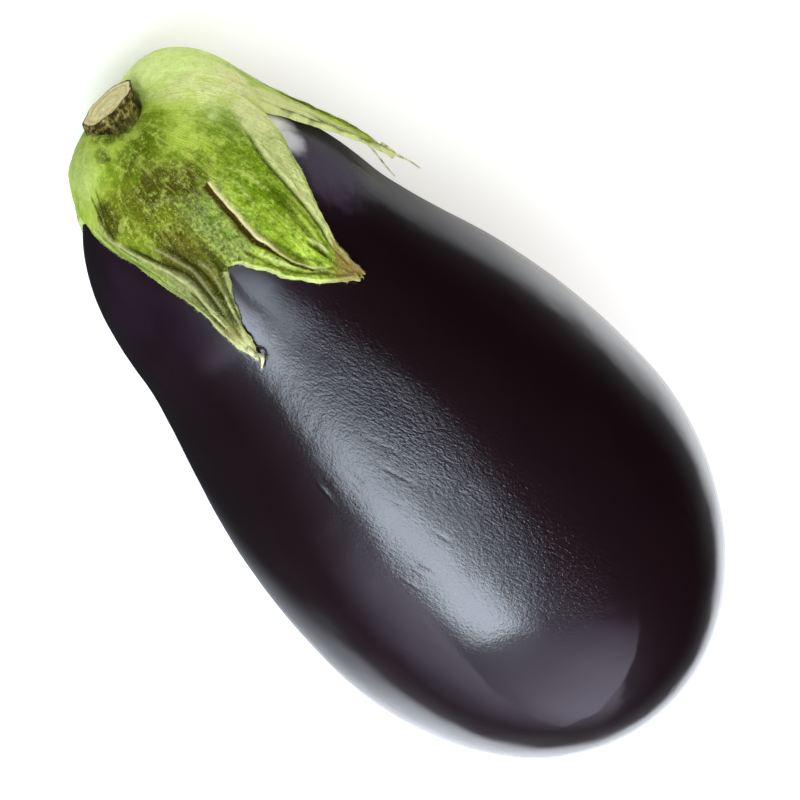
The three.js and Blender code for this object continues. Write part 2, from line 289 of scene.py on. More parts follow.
class Profile:
    """The profile as a table of places by reach over the skin."""

    def __init__(self):
        curves = [bezier(*segment, PROFILE_STEPS) for segment in profile_segments()]
        self.points = np.vstack([curves[0], curves[1][1:], curves[2][1:]])
        steps = np.hypot(*np.diff(self.points, axis=0).T)
        self.reach = np.concatenate([[0], np.cumsum(steps)])
        ways = np.gradient(self.points, self.reach, axis=0)
        self.ways = ways / np.hypot(*ways.T)[:, None]

    def at(self, reach):
        """The place along the axis, the radius there, and the way that the profile runs."""
        return [np.interp(reach, self.reach, column) for column in (*self.points.T, *self.ways.T)]

    def resting_place(self):
        """The profile's nearest place to the fruit's weight, and its slope there."""
        away = np.hypot(self.points[:, 0] - WEIGHT_ALONG, self.points[:, 1])
        nearest = int(np.argmin(away))
        return self.points[nearest], math.atan2(*self.ways[nearest][::-1])


PROFILE = Profile()
REST_POINT, REST_TILT = PROFILE.resting_place()
LAY_TURN = np.array(Matrix.Rotation(-REST_TILT, 3, "Y"))
LAY_PLACE = -LAY_TURN @ np.array([REST_POINT[0], 0, -REST_POINT[1]]) - np.array([0, 0, SPOT_DEPTH])


def laid_down(points):
    """Points in millimetres along the fruit's axis, as metres in the part's frame."""
    return (points @ LAY_TURN.T + LAY_PLACE) * MM


def hump(reach, turn, place):
    """A swelling's share at each place, one at its middle."""
    round_ = np.arctan2(np.sin(turn - place["turn"]), np.cos(turn - place["turn"])) / place["spread"]
    out = (reach - place["reach"]) / place["width"]
    return np.exp(-round_ * round_ - out * out)


def skin_point(reach, turn, height):
    """The point over the skin at a reach and a turn, raised along the profile's normal."""
    along, radius, way_x, way_r = PROFILE.at(reach)
    raised = height + SHOULDER["height"] * hump(reach, turn, SHOULDER)
    radius = radius + way_x * raised
    return np.stack([along - way_r * raised, radius * np.sin(turn), radius * np.cos(turn)], -1)


def calyx_point(reach, turn, height):
    """As skin_point, but near the stem the flesh stands up along the stem's side."""
    over = skin_point(reach, turn, height)
    upright = skin_point(reach, turn, 0 * height)
    upright[..., 0] -= height
    upright[..., 1] += STEM_LEAN * (height / STEM_HEIGHT) ** 2
    near = (1 - smoothstep(reach, STEM_HOLE, STEM_HOLE + 6))[..., None]
    return lerp(over, upright, near)


def spline(points, t):
    """A smooth curve through points, at t from 0 to 1."""
    points = np.array(points, float)
    last = len(points) - 1
    at = np.clip(t, 0, 1) * last
    i = np.minimum(np.floor(at).astype(int), last - 1)
    w = (at - i)[..., None]
    p0 = points[np.maximum(i - 1, 0)]
    p1 = points[i]
    p2 = points[i + 1]
    p3 = points[np.minimum(i + 2, last)]
    v0 = (p2 - p0) / 2
    v1 = (p3 - p1) / 2
    return (2 * p1 - 2 * p2 + v0 + v1) * w**3 + (-3 * p1 + 3 * p2 - 2 * v0 - v1) * w**2 + v0 * w + p1


def feed(tree, slot, value):
    """Links a value's socket to a slot, or sets the slot to a plain value."""
    if isinstance(value, Term):
        tree.links.new(value.socket, slot)
    elif isinstance(value, bpy.types.NodeSocket):
        tree.links.new(value, slot)
    else:
        slot.default_value = value


def add_node(tree, kind, inputs=None, **settings):
    """A node with its settings made and its inputs, by name or number, linked or given values."""
    node = tree.nodes.new(kind)
    count = len(tree.nodes)
    node.location = (220 * (count % 14), -260 * (count // 14))
    for name, value in settings.items():
        setattr(node, name, value)
    for name, value in (inputs or {}).items():
        feed(tree, node.inputs[name], value)
    return node


class Term:
    """A number's socket in a node tree, which sums can be written with."""

    def __init__(self, tree, socket):
        self.tree = tree
        self.socket = socket

    def math(self, operation, *others, clamp=False):
        values = dict(enumerate((self, *others)))
        node = add_node(self.tree, "ShaderNodeMath", values, operation=operation, use_clamp=clamp)
        return Term(self.tree, node.outputs[0])

    def __add__(self, other):
        return self.math("ADD", other)

    def __sub__(self, other):
        return self.math("SUBTRACT", other)

    def __mul__(self, other):
        return self.math("MULTIPLY", other)

    def __truediv__(self, other):
        return self.math("DIVIDE", other)

    def __neg__(self):
        return self.math("MULTIPLY", -1.0)

    def flipped(self):
        """One minus this."""
        return self.math("MULTIPLY_ADD", -1.0, 1.0)

    def wrapped(self):
        """An angle brought between minus and plus half a turn."""
        return self.math("WRAP", math.pi, -math.pi)

    def bell(self, middle, width):
        """One at middle, falling smoothly to nought a width or two away."""
        off = (self - middle) / width
        return (-(off * off)).math("EXPONENT")

    def ramp(self, low, high):
        """A smooth step from nought at low to one at high, or the other way round."""
        limits = {0: self, 1: low, 2: high}
        step = add_node(self.tree, "ShaderNodeMapRange", limits, interpolation_type="SMOOTHSTEP")
        return Term(self.tree, step.outputs[0])


def named(tree, name):
    """A geometry tree's reading of a stored number."""
    node = add_node(tree, "GeometryNodeInputNamedAttribute", {"Name": name}, data_type="FLOAT")
    return Term(tree, node.outputs["Attribute"])


def parts(tree, vector):
    """A vector's three numbers."""
    node = add_node(tree, "ShaderNodeSeparateXYZ", {0: vector})
    return [Term(tree, out) for out in node.outputs]


def combine(tree, x, y, z):
    return Term(tree, add_node(tree, "ShaderNodeCombineXYZ", {0: x, 1: y, 2: z}).outputs[0])


def vector_math(tree, operation, a, b=None, scale=None):
    node = add_node(tree, "ShaderNodeVectorMath", {0: a}, operation=operation)
    if b is not None:
        feed(tree, node.inputs[1], b)
    if scale is not None:
        feed(tree, node.inputs["Scale"], scale)
    return Term(tree, node.outputs[0])


def noise(tree, vector, scale, detail, roughness=0.5):
    inputs = {"Vector": vector, "Scale": scale, "Detail": detail, "Roughness": roughness}
    return Term(tree, add_node(tree, "ShaderNodeTexNoise", inputs).outputs[0])


class Rule:
    """A Geometry Nodes tree with named inputs, put on a mesh once to make it."""

    def __init__(self, name, sizes):
        self.tree = bpy.data.node_groups.new(name, "GeometryNodeTree")
        self.sizes = sizes
        sockets = self.tree.interface
        sockets.new_socket("Geometry", in_out="INPUT", socket_type="NodeSocketGeometry")
        for label, value in sizes.items():
            kind = {int: "NodeSocketInt", float: "NodeSocketFloat"}.get(type(value), "NodeSocketMaterial")
            sockets.new_socket(label, in_out="INPUT", socket_type=kind)
        sockets.new_socket("Geometry", in_out="OUTPUT", socket_type="NodeSocketGeometry")
        self.start = self.tree.nodes.new("NodeGroupInput")
        self.end = self.tree.nodes.new("NodeGroupOutput")

    def __getitem__(self, label):
        return Term(self.tree, self.start.outputs[label])

    def finish(self, geometry):
        """Ends the tree with its instances made real and its material set."""
        real = add_node(self.tree, "GeometryNodeRealizeInstances", {0: geometry})
        inputs = {0: real.outputs[0], "Material": self["Material"]}
        ended = add_node(self.tree, "GeometryNodeSetMaterial", inputs)
        self.tree.links.new(ended.outputs[0], self.end.inputs[0])

    def make(self, name, mesh):
        """The plain mesh object that the tree makes from a mesh."""
        source = bpy.data.objects.new(name + "_source", mesh)
        bpy.context.scene.collection.objects.link(source)
        modifier = source.modifiers.new("Rule", "NODES")
        modifier.node_group = self.tree
        for item in self.tree.interface.items_tree:
            if item.in_out == "INPUT" and item.name in self.sizes:
                modifier[item.identifier] = self.sizes[item.name]
        bpy.context.view_layer.update()
        graph = bpy.context.evaluated_depsgraph_get()
        made = bpy.data.meshes.new_from_object(source.evaluated_get(graph), depsgraph=graph)
        made.name = name
        bpy.data.objects.remove(source)
        return piece_of(name, made)


def piece_of(name, mesh, material=None):
    """A smooth-shaded object of a mesh."""
    piece = bpy.data.objects.new(name, mesh)
    bpy.context.scene.collection.objects.link(piece)
    if material:
        mesh.materials.clear()
        mesh.materials.append(material)
    mesh.polygons.foreach_set("use_smooth", [True] * len(mesh.polygons))
    mesh.update()
    return piece


def store(mesh, name, values):
    """Keeps a number for each corner of a mesh, for its material to read."""
    layer = mesh.attributes.new(name, "FLOAT", "POINT")
    layer.data.foreach_set("value", np.asarray(values, np.float32).ravel())


def new_mesh(name, points, faces):
    """A mesh of points along the fruit's axis, laid down."""
    mesh = bpy.data.meshes.new(name)
    mesh.from_pydata(laid_down(points), [], faces)
    return mesh


def closed_faces(levels, sides):
    """Faces of rings joined one to the next, and closed at both ends round two last points."""
    faces = []
    for level in range(levels - 1):
        for k in range(sides):
            a, b = level * sides + k, level * sides + (k + 1) % sides
            faces.append((a, b, b + sides, a + sides))
    first, last = levels * sides, levels * sides + 1
    end = (levels - 1) * sides
    for k in range(sides):
        faces.append((first, (k + 1) % sides, k))
        faces.append((last, end + k, end + (k + 1) % sides))
    return faces


def clean(mesh, distance):
    """Merges what coincides and turns the faces outwards."""
    work = bmesh.new()
    work.from_mesh(mesh)
    bmesh.ops.remove_doubles(work, verts=work.verts, dist=distance)
    bmesh.ops.dissolve_degenerate(work, edges=work.edges, dist=distance / 10)
    bmesh.ops.recalc_face_normals(work, faces=work.faces)
    work.to_mesh(mesh)
    work.free()


# Shader groups, each placed many times.

ORIGIN = (0.0, 0.0, 0.0)


def shader_group(name, **inputs):
    """A group's tree, its inputs by name and its end, for one value that goes by the group's own name."""
    tree = bpy.data.node_groups.new(name, "ShaderNodeTree")
    for label, value in inputs.items():
        kind = "NodeSocketVector" if value is ORIGIN else "NodeSocketFloat"
        tree.interface.new_socket(label, in_out="INPUT", socket_type=kind).default_value = value
    tree.interface.new_socket(name, in_out="OUTPUT", socket_type="NodeSocketFloat")
    start = tree.nodes.new("NodeGroupInput")
    end = tree.nodes.new("NodeGroupOutput")
    return tree, {label: Term(tree, start.outputs[label]) for label in inputs}, end


def grain_group():
    """Fine grain at two sizes, about a half."""
    tree, given, end = shader_group("Grain", Vector=ORIGIN, Size=0.5, Contrast=1.0)
    scale = given["Size"].math("POWER", -1.0) * 1000.0
    coarse = noise(tree, given["Vector"], scale * 0.4, 3.0, 0.6)
    fine = noise(tree, given["Vector"], scale, 2.0, 0.7)
    mixed = (coarse * 0.5 + fine * 0.5 - 0.5) * given["Contrast"] + 0.5
    feed(tree, end.inputs[0], mixed.math("MULTIPLY", 1.0, clamp=True))
    return tree


def fibre_group():
    """Long fibres that run along the first axis of the vector given."""
    tree, given, end = shader_group("Fibres", Vector=ORIGIN, Length=6.0, Width=0.4, Wander=0.5)
    x, y, z = parts(tree, given["Vector"])
    bent = noise(tree, given["Vector"], 120.0, 2.0) * given["Wander"] * MM
    stretched = combine(tree, x / given["Length"], (y + bent) / given["Width"], z / given["Width"])
    lines = noise(tree, stretched, 1000.0, 3.0, 0.6)
    feed(tree, end.inputs[0], lines.ramp(0.3, 0.7))
    return tree


def blotch_group():
    """A ragged blotch of one round a centre, nought away from it."""
    tree, given, end = shader_group("Blotch", Vector=ORIGIN, Centre=ORIGIN, Radius=5.0, Raggedness=0.5)
    ends = {0: given["Vector"], 1: given["Centre"]}
    away = add_node(tree, "ShaderNodeVectorMath", ends, operation="DISTANCE")
    share = Term(tree, away.outputs["Value"]) / (given["Radius"] * MM)
    ragged = share + (noise(tree, given["Vector"], 350.0, 4.0, 0.65) - 0.5) * given["Raggedness"] * 2.0
    feed(tree, end.inputs[0], ragged.ramp(1.15, 0.35))
    return tree


def dent_group():
    """A narrow dent in coordinates over a surface, nought away from it."""
    tree, given, end = shader_group("Dent", Vector=ORIGIN, Centre=ORIGIN, Slant=0.0, Length=4.0, Width=0.6)
    inputs = {"Vector": given["Vector"], "Center": given["Centre"], "Angle": -given["Slant"]}
    turned = add_node(tree, "ShaderNodeVectorRotate", inputs, rotation_type="Z_AXIS")
    away = vector_math(tree, "SUBTRACT", turned.outputs[0], given["Centre"])
    x, y, _ = parts(tree, vector_math(tree, "SCALE", away, scale=1000.0))
    wavy = y + noise(tree, given["Vector"], 700.0, 1.0) * 0.5 - 0.25
    feed(tree, end.inputs[0], x.bell(0.0, given["Length"]) * wavy.bell(0.0, given["Width"]))
    return tree


class Surface:
    """A material's tree, with the shader groups at hand and the colour as far as it is laid."""

    makers = {"Grain": grain_group, "Fibres": fibre_group, "Blotch": blotch_group, "Dent": dent_group}
    groups = {}

    def __init__(self, name, ground=None):
        self.material = bpy.data.materials.new(name)
        self.material.use_nodes = True
        self.tree = self.material.node_tree
        self.shader = self.tree.nodes["Principled BSDF"]
        self.place = add_node(self.tree, "ShaderNodeTexCoord").outputs["Object"]
        self.laid = ground

    def group(self, name, **inputs):
        if name not in Surface.groups:
            Surface.groups[name] = Surface.makers[name]()
        node = add_node(self.tree, "ShaderNodeGroup", node_tree=Surface.groups[name])
        for label, value in inputs.items():
            feed(self.tree, node.inputs[label], value)
        return Term(self.tree, node.outputs[0])

    def grain(self, size, contrast):
        return self.group("Grain", Vector=self.place, Size=size, Contrast=contrast)

    def blotch(self, centre, radius, ragged):
        return self.group("Blotch", Vector=self.place, Centre=centre, Radius=radius, Raggedness=ragged)

    def blotches(self, centres, radius, ragged):
        """Blotches of one size, joined."""
        cover = None
        for centre in centres:
            spot = self.blotch(centre, radius, ragged)
            cover = spot if cover is None else cover.math("MAXIMUM", spot)
        return cover

    def noise(self, scale, detail, roughness=0.5):
        return noise(self.tree, self.place, scale, detail, roughness)

    def stored(self, name):
        node = add_node(self.tree, "ShaderNodeAttribute", attribute_name=name)
        return Term(self.tree, node.outputs["Fac"])

    def mix(self, share, base, over):
        node = add_node(self.tree, "ShaderNodeMix", data_type="RGBA")
        feed(self.tree, node.inputs[0], share)
        feed(self.tree, node.inputs[6], self.colour(base))
        feed(self.tree, node.inputs[7], self.colour(over))
        return Term(self.tree, node.outputs[2])

    def lay(self, share, over):
        """Lays a share of a colour over what is there."""
        self.laid = self.mix(share, self.laid, over)

    @staticmethod
    def colour(value):
        return value if isinstance(value, Term) else (*value, 1.0)

    def constants(self, **values):
        """Sets sockets that are the same all over."""
        for label, value in values.items():
            self.shader.inputs[label.replace("_", " ")].default_value = value

    def bump(self, height, distance):
        inputs = {"Height": height, "Distance": distance}
        return Term(self.tree, add_node(self.tree, "ShaderNodeBump", inputs).outputs[0])

    def finish(self, **values):
        """Feeds sockets what changes over the surface."""
        for label, value in values.items():
            feed(self.tree, self.shader.inputs[label.replace("_", " ")], value)
        return self.material


def spot_on_skin(reach, degrees):
    """A place on the skin as a vector in metres, for a blotch's centre."""
    return tuple(laid_down(skin_point(np.array(float(reach)), math.radians(degrees), 0.0)))


def spot_on_calyx(reach, degrees):
    """A place near the calyx's outer face as a vector in metres, for a blotch's centre."""
    at, turn = np.array(float(reach)), np.array(math.radians(degrees))
    height = 3.0 - 0.02 * at + swelling(at, turn)
    return tuple(laid_down(calyx_point(at, turn, height)))


# The fruit.


# Small dents in the skin: reach and angle, slant in degrees, length, width and depth in millimetres.
DENTS = [
    (88.0, 3.5, 17, 9.0, 4.5, 0.30),
    (110.0, -3.0, 17, 9.0, 4.0, 0.16),
    (92.0, -7.6, 17, 3.6, 0.5, 0.10),
    (90.5, -9.2, 17, 2.2, 0.7, 0.08),
    (98.5, -10.3, 20, 4.2, 0.5, 0.10),
    (103.0, -15.3, 25, 1.8, 0.4, 0.04),
    (92.5, -29.6, 4, 2.6, 0.5, -0.05),
    (91.5, -27.8, 4, 2.2, 0.8, 0.03),
    (93.5, -19.8, 8, 2.4, 0.6, 0.05),
    (117.0, -21.8, 16, 2.6, 0.5, 0.08),
    (117.5, -23.1, 16, 2.2, 0.6, -0.035),
    (119.0, -26.8, 20, 2.4, 0.5, -0.05),
    (114.0, -12.5, 16, 2.0, 0.45, 0.06),
    (80.0, -3.0, 14, 3.0, 0.6, 0.04),
    (152.0, 40.0, 10, 6.0, 0.9, 0.06),
    (165.0, 33.0, 5, 5.0, 0.8, 0.05),
    (70.0, 150.0, 8, 5.0, 0.8, 0.06),
    (120.0, -120.0, -10, 6.0, 0.8, 0.05),
]

# How many millimetres round the fruit a radian of turn counts as in the skin's flat coordinates.
AROUND = 45.0

# The reach at which the corky scar of the blossom end begins, and at which it is whole.
SCAR_EDGE = (218.0, 219.6)


def all_dents(skin, flat):
    """The small dents together, as a height in millimetres."""
    dents = None
    for at, degrees, slant, long, wide, deep in DENTS:
        size = {"Slant": math.radians(slant), "Length": long, "Width": wide}
        spot = (at * MM, math.radians(degrees) * AROUND * MM, 0.0)
        dent = skin.group("Dent", Vector=flat, Centre=spot, **size) * -deep
        dents = dent if dents is None else dents + dent
    return dents


def skin_relief(skin, reach, turn, flat, pores, dull_sheen_patch):
    """Fine pores all over, coarser wrinkles where the skin faces up, and the dents, in millimetres."""
    tree = skin.tree
    x, y, _ = parts(tree, flat)
    slanted = combine(tree, x * 0.55, y - x * 0.25, 0.0)
    wrinkles = noise(tree, slanted, 1500.0, 3.0, 0.62)
    crumpled = (reach.ramp(0.05, 0.075) * reach.ramp(0.158, 0.14)) * turn.bell(0.06, 0.20)
    softer = reach.ramp(0.045, 0.07) * reach.ramp(0.15, 0.13) * turn.bell(-0.22, 0.32) * 0.65
    rough_part = crumpled.math("MAXIMUM", softer).math("MAXIMUM", dull_sheen_patch * 0.8)
    dents = all_dents(skin, flat)
    pitted = reach.bell(0.093, 0.013) * turn.bell(-0.06, 0.17)
    pitted = pitted + reach.bell(0.116, 0.010) * turn.bell(-0.44, 0.07) * 0.6
    wrinkled = rough_part * 0.05 + crumpled * 0.11 + pitted * 0.20 + 0.004
    specks = skin.noise(1700.0, 1.0).ramp(0.40, 0.30) * (crumpled * 0.7 + pitted * 0.4)
    return pores * (rough_part * 0.09 + 0.004) + wrinkles * wrinkled + dents - specks * 0.06


def skin_material(look):
    """Glossy purple-black skin, pale with a painted glare beside the largest lobe, with a blossom-end scar.
    """
    skin = Surface("aubergine_skin", look.skin_colour)
    reach = skin.stored("reach")
    turn = skin.stored("turn")
    flat = combine(skin.tree, reach, turn * (AROUND * MM), 0.0)
    clouds = skin.noise(45.0, 4.0, 0.6)
    skin.lay(clouds.ramp(0.4, 0.65) * 0.5, look.skin_shade)
    skin.lay(reach.ramp(0.07, 0.03) * clouds.ramp(0.3, 0.6) * 0.5, look.violet_tinge)
    # Pale young skin beside the largest lobe, painted near white: partly its own colour, partly a painted
    # glare.
    pale_glare_patch = skin.blotch(spot_on_skin(32, 67), 6.5, 0.3)
    pale_glare_patch = pale_glare_patch.math("MAXIMUM", skin.blotch(spot_on_skin(37, 58.5), 4.6, 0.4))
    skin.lay(pale_glare_patch * 0.95, look.young_skin_and_glare)
    # A duller greyish-lilac patch between two lobes: partly bloom, partly a painted sheen over the lifted
    # lobe's dark reflection.
    dull_sheen_patch = skin.blotch(spot_on_skin(46, 60), 13.0, 0.3)
    skin.lay(dull_sheen_patch * 0.5, look.bloom_and_sheen)
    begins, whole = (at * MM for at in SCAR_EDGE)
    scar = (reach + skin.noise(400.0, 2.0) * 0.003).ramp(begins, whole)
    scar = scar * skin.grain(1.6, 1.5).ramp(0.15, 0.5)
    skin.lay(scar, look.scar_colour)

    pores = skin.grain(0.55, 1.6)
    normal = skin.bump(skin_relief(skin, reach, turn, flat, pores, dull_sheen_patch), 1.0 * MM)
    skin.constants(Specular_IOR_Level=0.3, IOR=1.46, Coat_Roughness=0.055, Coat_IOR=1.5)
    return skin.finish(
        Base_Color=skin.laid,
        Roughness=pores * 0.06 + clouds * 0.06 + 0.30 + scar * 0.4,
        Coat_Weight=scar.flipped() * (dull_sheen_patch * -0.55 + 0.9),
        Normal=normal,
        Coat_Normal=normal,
    )


def profile_curve(rule):
    """The profile's three curves joined, from the shoulder's top to the blossom end."""
    tree = rule.tree
    cosine = rule["Neck Slope"].math("COSINE")
    sine = rule["Neck Slope"].math("SINE")

    def place(along, radius):
        return combine(tree, along, radius, 0.0)

    def along_neck(pull):
        return place(rule["Neck Along"] + cosine * (pull * MM), rule["Neck Radius"] + sine * (pull * MM))

    def along_belly(pull):
        return place(rule["Belly Along"] + pull * MM, rule["Belly Radius"])

    neck = along_neck(0.0)
    belly = along_belly(0.0)
    shoulder = place(0.0, rule["Shoulder Flatness"])
    blossom_end = place(rule["Length"], rule["Blossom End Flatness"])
    segments = [
        (ORIGIN, shoulder, along_neck(-SHOULDER_PULL), neck),
        (neck, along_neck(NECK_PULL), along_belly(-BELLY_PULL_BEFORE), belly),
        (belly, along_belly(BELLY_PULL_AFTER), blossom_end, place(rule["Length"], 0.0)),
    ]
    joined = add_node(tree, "GeometryNodeJoinGeometry")
    for start, first, second, end in reversed(segments):
        inputs = {"Resolution": 120, "Start": start, "Start Handle": first, "End Handle": second, "End": end}
        curve = add_node(tree, "GeometryNodeCurvePrimitiveBezierSegment", inputs, mode="POSITION")
        tree.links.new(curve.outputs[0], joined.inputs[0])
    return joined.outputs[0]


def fruit_rule(size, material):
    """The fruit as a rule: rings of its profile round the axis, laid on the floor, with shallow dents."""
    rule = Rule(
        "Fruit of a profile",
        {
            "Length": size.length,
            "Belly Along": size.belly_along,
            "Belly Radius": size.belly_radius,
            "Neck Along": size.neck_along,
            "Neck Radius": size.neck_radius,
            "Neck Slope": size.neck_slope,
            "Shoulder Flatness": size.shoulder_flatness,
            "Blossom End Flatness": size.blossom_end_flatness,
            "Dimple Depth": DIMPLE_DEPTH * MM,
            "Shoulder Height": SHOULDER["height"] * MM,
            "End Lean": END_LEAN * MM,
            "Rest Tilt": REST_TILT,
            "Unevenness": size.unevenness,
            "Dent Depth": size.dent_depth,
            "Rings": size.rings,
            "Sides": size.sides,
            "Material": material,
        },
    )
    tree = rule.tree
    curve = profile_curve(rule)
    whole = add_node(tree, "GeometryNodeCurveLength", {0: curve})

    inputs = {"Size X": 1.0, "Size Y": 1.0, "Vertices X": rule["Rings"], "Vertices Y": rule["Sides"]}
    grid = add_node(tree, "GeometryNodeMeshGrid", inputs)
    x, y, _ = parts(tree, add_node(tree, "GeometryNodeInputPosition").outputs[0])
    level = x + 0.5
    eased = (level * math.pi).math("COSINE") * -0.5 + 0.5
    share = level * 0.45 + eased * 0.55
    turn = (y + 0.5) * (2 * math.pi)
    reach = share * Term(tree, whole.outputs[0])
    inputs = {"Curves": curve, "Factor": share}
    sample = add_node(tree, "GeometryNodeSampleCurve", inputs, mode="FACTOR", use_all_curves=True)
    along, radius, _ = parts(tree, sample.outputs["Position"])
    way_x, way_r, _ = parts(tree, sample.outputs["Tangent"])

    round_ = (turn - SHOULDER["turn"]).wrapped() / SHOULDER["spread"]
    out = (reach - SHOULDER["reach"] * MM) / (SHOULDER["width"] * MM)
    raised = rule["Shoulder Height"] * (-(round_ * round_) - out * out).math("EXPONENT")
    dimple = rule["Dimple Depth"] * radius.bell(0.0, DIMPLE_RADIUS * MM) * share.ramp(0.5, 1.0)
    along = along - way_r * raised - dimple
    radius = (radius + way_x * raised).math("MAXIMUM", 0.0)
    lean = along.ramp(rule["Belly Along"], rule["Length"]) * rule["End Lean"]
    local = combine(tree, along, radius * turn.math("SINE") - lean, radius * turn.math("COSINE"))

    # Dents go inwards only, so that the fruit keeps to its own box.
    uneven = noise(tree, local, 38.0, 2.0, 0.5).ramp(0.25, 0.75)
    pits = noise(tree, local, 210.0, 2.0, 0.5).ramp(0.62, 0.78)
    stretched = combine(tree, along * 0.5 + radius * turn * 0.2, radius * turn - along * 0.2, 0.0)
    creases = noise(tree, stretched, 420.0, 2.0, 0.55).ramp(0.55, 0.75)
    creased = reach.bell(0.092, 0.03) * (turn.wrapped() + 0.1).bell(0.0, 0.3)
    sunk = rule["Unevenness"] * uneven + rule["Dent Depth"] * (pits * 0.25 + creases * creased)
    inward = (radius - sunk).math("MAXIMUM", 0.0)
    dented = combine(tree, along, inward * turn.math("SINE") - lean, inward * turn.math("COSINE"))

    inputs = {"Vector": dented, "Angle": rule["Rest Tilt"] * -1.0}
    turned = add_node(tree, "ShaderNodeVectorRotate", inputs, rotation_type="Y_AXIS")
    placed = vector_math(tree, "ADD", turned.outputs[0], tuple(LAY_PLACE * MM))
    px, py, pz = parts(tree, placed)
    resting = combine(tree, px.math("MINIMUM", FAR_END * MM), py, pz.math("MAXIMUM", 0.0))
    kept = grid
    for name, value in (("reach", reach), ("turn", turn.wrapped())):
        inputs = {"Geometry": kept.outputs[0], "Name": name, "Value": value}
        kept = add_node(tree, "GeometryNodeStoreNamedAttribute", inputs, data_type="FLOAT", domain="POINT")
    shaped = add_node(tree, "GeometryNodeSetPosition", {"Geometry": kept.outputs[0], "Position": resting})
    closed = add_node(tree, "GeometryNodeMergeByDistance", {"Geometry": shaped.outputs[0], "Distance": 1e-5})
    rule.finish(closed.outputs[0])
    return rule


# The calyx.


def edge_line(lobe, sinus, places, side, full_turn, u):
    """A lobe's edge at each u: up the line between two lobes to the sinus, then out to the tip."""
    reach, degrees = sinus[0], sinus[1] + full_turn
    tip = (lobe["tip"][0], lobe["tip"][1] + side * TIP_HALF_ANGLE * (1.6 if lobe["points"] > 1 else 1))
    out = spline([(reach, degrees), *places, tip], (u - CUP_END) / (1 - CUP_END))
    inside = u <= CUP_END
    return (
        np.where(inside, lerp(STEM_HOLE, reach, u / CUP_END), out[..., 0]),
        np.radians(np.where(inside, degrees, out[..., 1])),
    )


def rough(x, y, seed):
    """A smooth uneven value from -1 to 1, the same each run."""
    total = 0
    for k, (fx, fy, weight) in enumerate([(1.0, 1.3, 0.5), (2.3, 1.9, 0.3), (4.1, 3.7, 0.2)]):
        total = total + weight * np.sin(fx * x + 1.7 * seed + k) * np.cos(fy * y - 2.3 * seed + 2 * k)
    return total


def swelling(reach, turn):
    """The height that the calyx's collars and cushion add."""
    return sum(place["height"] * hump(reach, turn, place) for place in (COLLAR, FRONT_COLLAR, CUSHION))


def side_of(places, reach, turn):
    """How far a place is past a line that runs outwards, towards higher turns, in millimetres."""
    line = spline(places, np.linspace(0, 1, 80))
    order = np.argsort(line[:, 0])
    at = np.radians(np.interp(reach, line[order, 0], line[order, 1]))
    slope = np.gradient(line[order, 1], line[order, 0])
    tilt = np.interp(reach, line[order, 0], np.radians(slope) * NECK[1])
    return (turn - at) * NECK[1] / np.sqrt(1 + np.clip(tilt, -2, 2) ** 2)


def line_distance(places, reach, turn):
    """The distance to a line over the skin in millimetres, and how far along it the nearest place is."""
    line = spline(places, np.linspace(0, 1, 4 * len(places)))
    x = line[:, 0]
    y = np.radians(line[:, 1]) * NECK[1]
    nearest = np.full_like(reach, 1e9)
    along = np.zeros_like(reach)
    for k in range(len(x) - 1):
        dx, dy = x[k + 1] - x[k], y[k + 1] - y[k]
        t = np.clip(((reach - x[k]) * dx + (turn * NECK[1] - y[k]) * dy) / (dx * dx + dy * dy), 0, 1)
        away = np.hypot(reach - x[k] - t * dx, turn * NECK[1] - y[k] - t * dy)
        closer = away < nearest
        nearest = np.where(closer, away, nearest)
        along = np.where(closer, (k + t) / (len(x) - 1), along)
    return nearest, along


def creases_of(index, reach, turn):
    """The height that a lobe's creases add, and how pale and how dark they make it."""
    height = np.zeros_like(reach)
    pale = np.zeros_like(reach)
    dark = np.zeros_like(reach)
    for lobe, rise, half_width, tint, places in CREASES:
        if lobe != index:
            continue
        away, along = line_distance(places, reach, turn)
        ends = smoothstep(along, 0, 0.14) * (1 - smoothstep(along, 0.88, 1))
        wide = half_width * (0.85 + 0.3 * rough(reach, turn * 9, rise * 10))
        share = bell(away, wide) * ends
        height = height + rise * share
        if rise > 0:
            pale = np.maximum(pale, tint * share)
        else:
            dark = np.maximum(dark, tint * share)
    return height, pale, dark


def fold_of(reach, turn):
    """The rises that the fold adds, how far it leans over, and how far each place is past its edge."""
    past = side_of(FOLD_EDGE, reach, turn) + 0.12 * rough(reach * 1.5, turn * 0, 3)
    along = smoothstep(reach, 28.5, 33) * (1 - smoothstep(reach, 50, 57))
    over = smoothstep(past, -0.2, 0.3) * (1 - smoothstep(past, 4.5, 15))
    wide = lerp(0.85, 0.3, smoothstep(reach, 42, 49))
    lip = 0.25 * along * bell(past - 0.5, 0.45)
    groove = -0.8 * along * bell(past + wide, wide)
    lean = 0.6 * along * bell(past - 0.3, 0.5) / NECK[1]
    return [FOLD_HEIGHT * along * over, lip, groove], lean, np.where(along > 0.02, past, NO_FOLD)


def band_of(index, reach, turn):
    """How strongly each place of a lobe lies in its pale band."""
    band = np.zeros_like(reach)
    for lobe, side, strength, places in BANDS:
        if lobe == index:
            out = smoothstep(reach, places[0][0] - 2, places[0][0] + 3)
            band = smoothstep(side * side_of(places, reach, turn), -0.2, 0.5) * out * strength
    return band


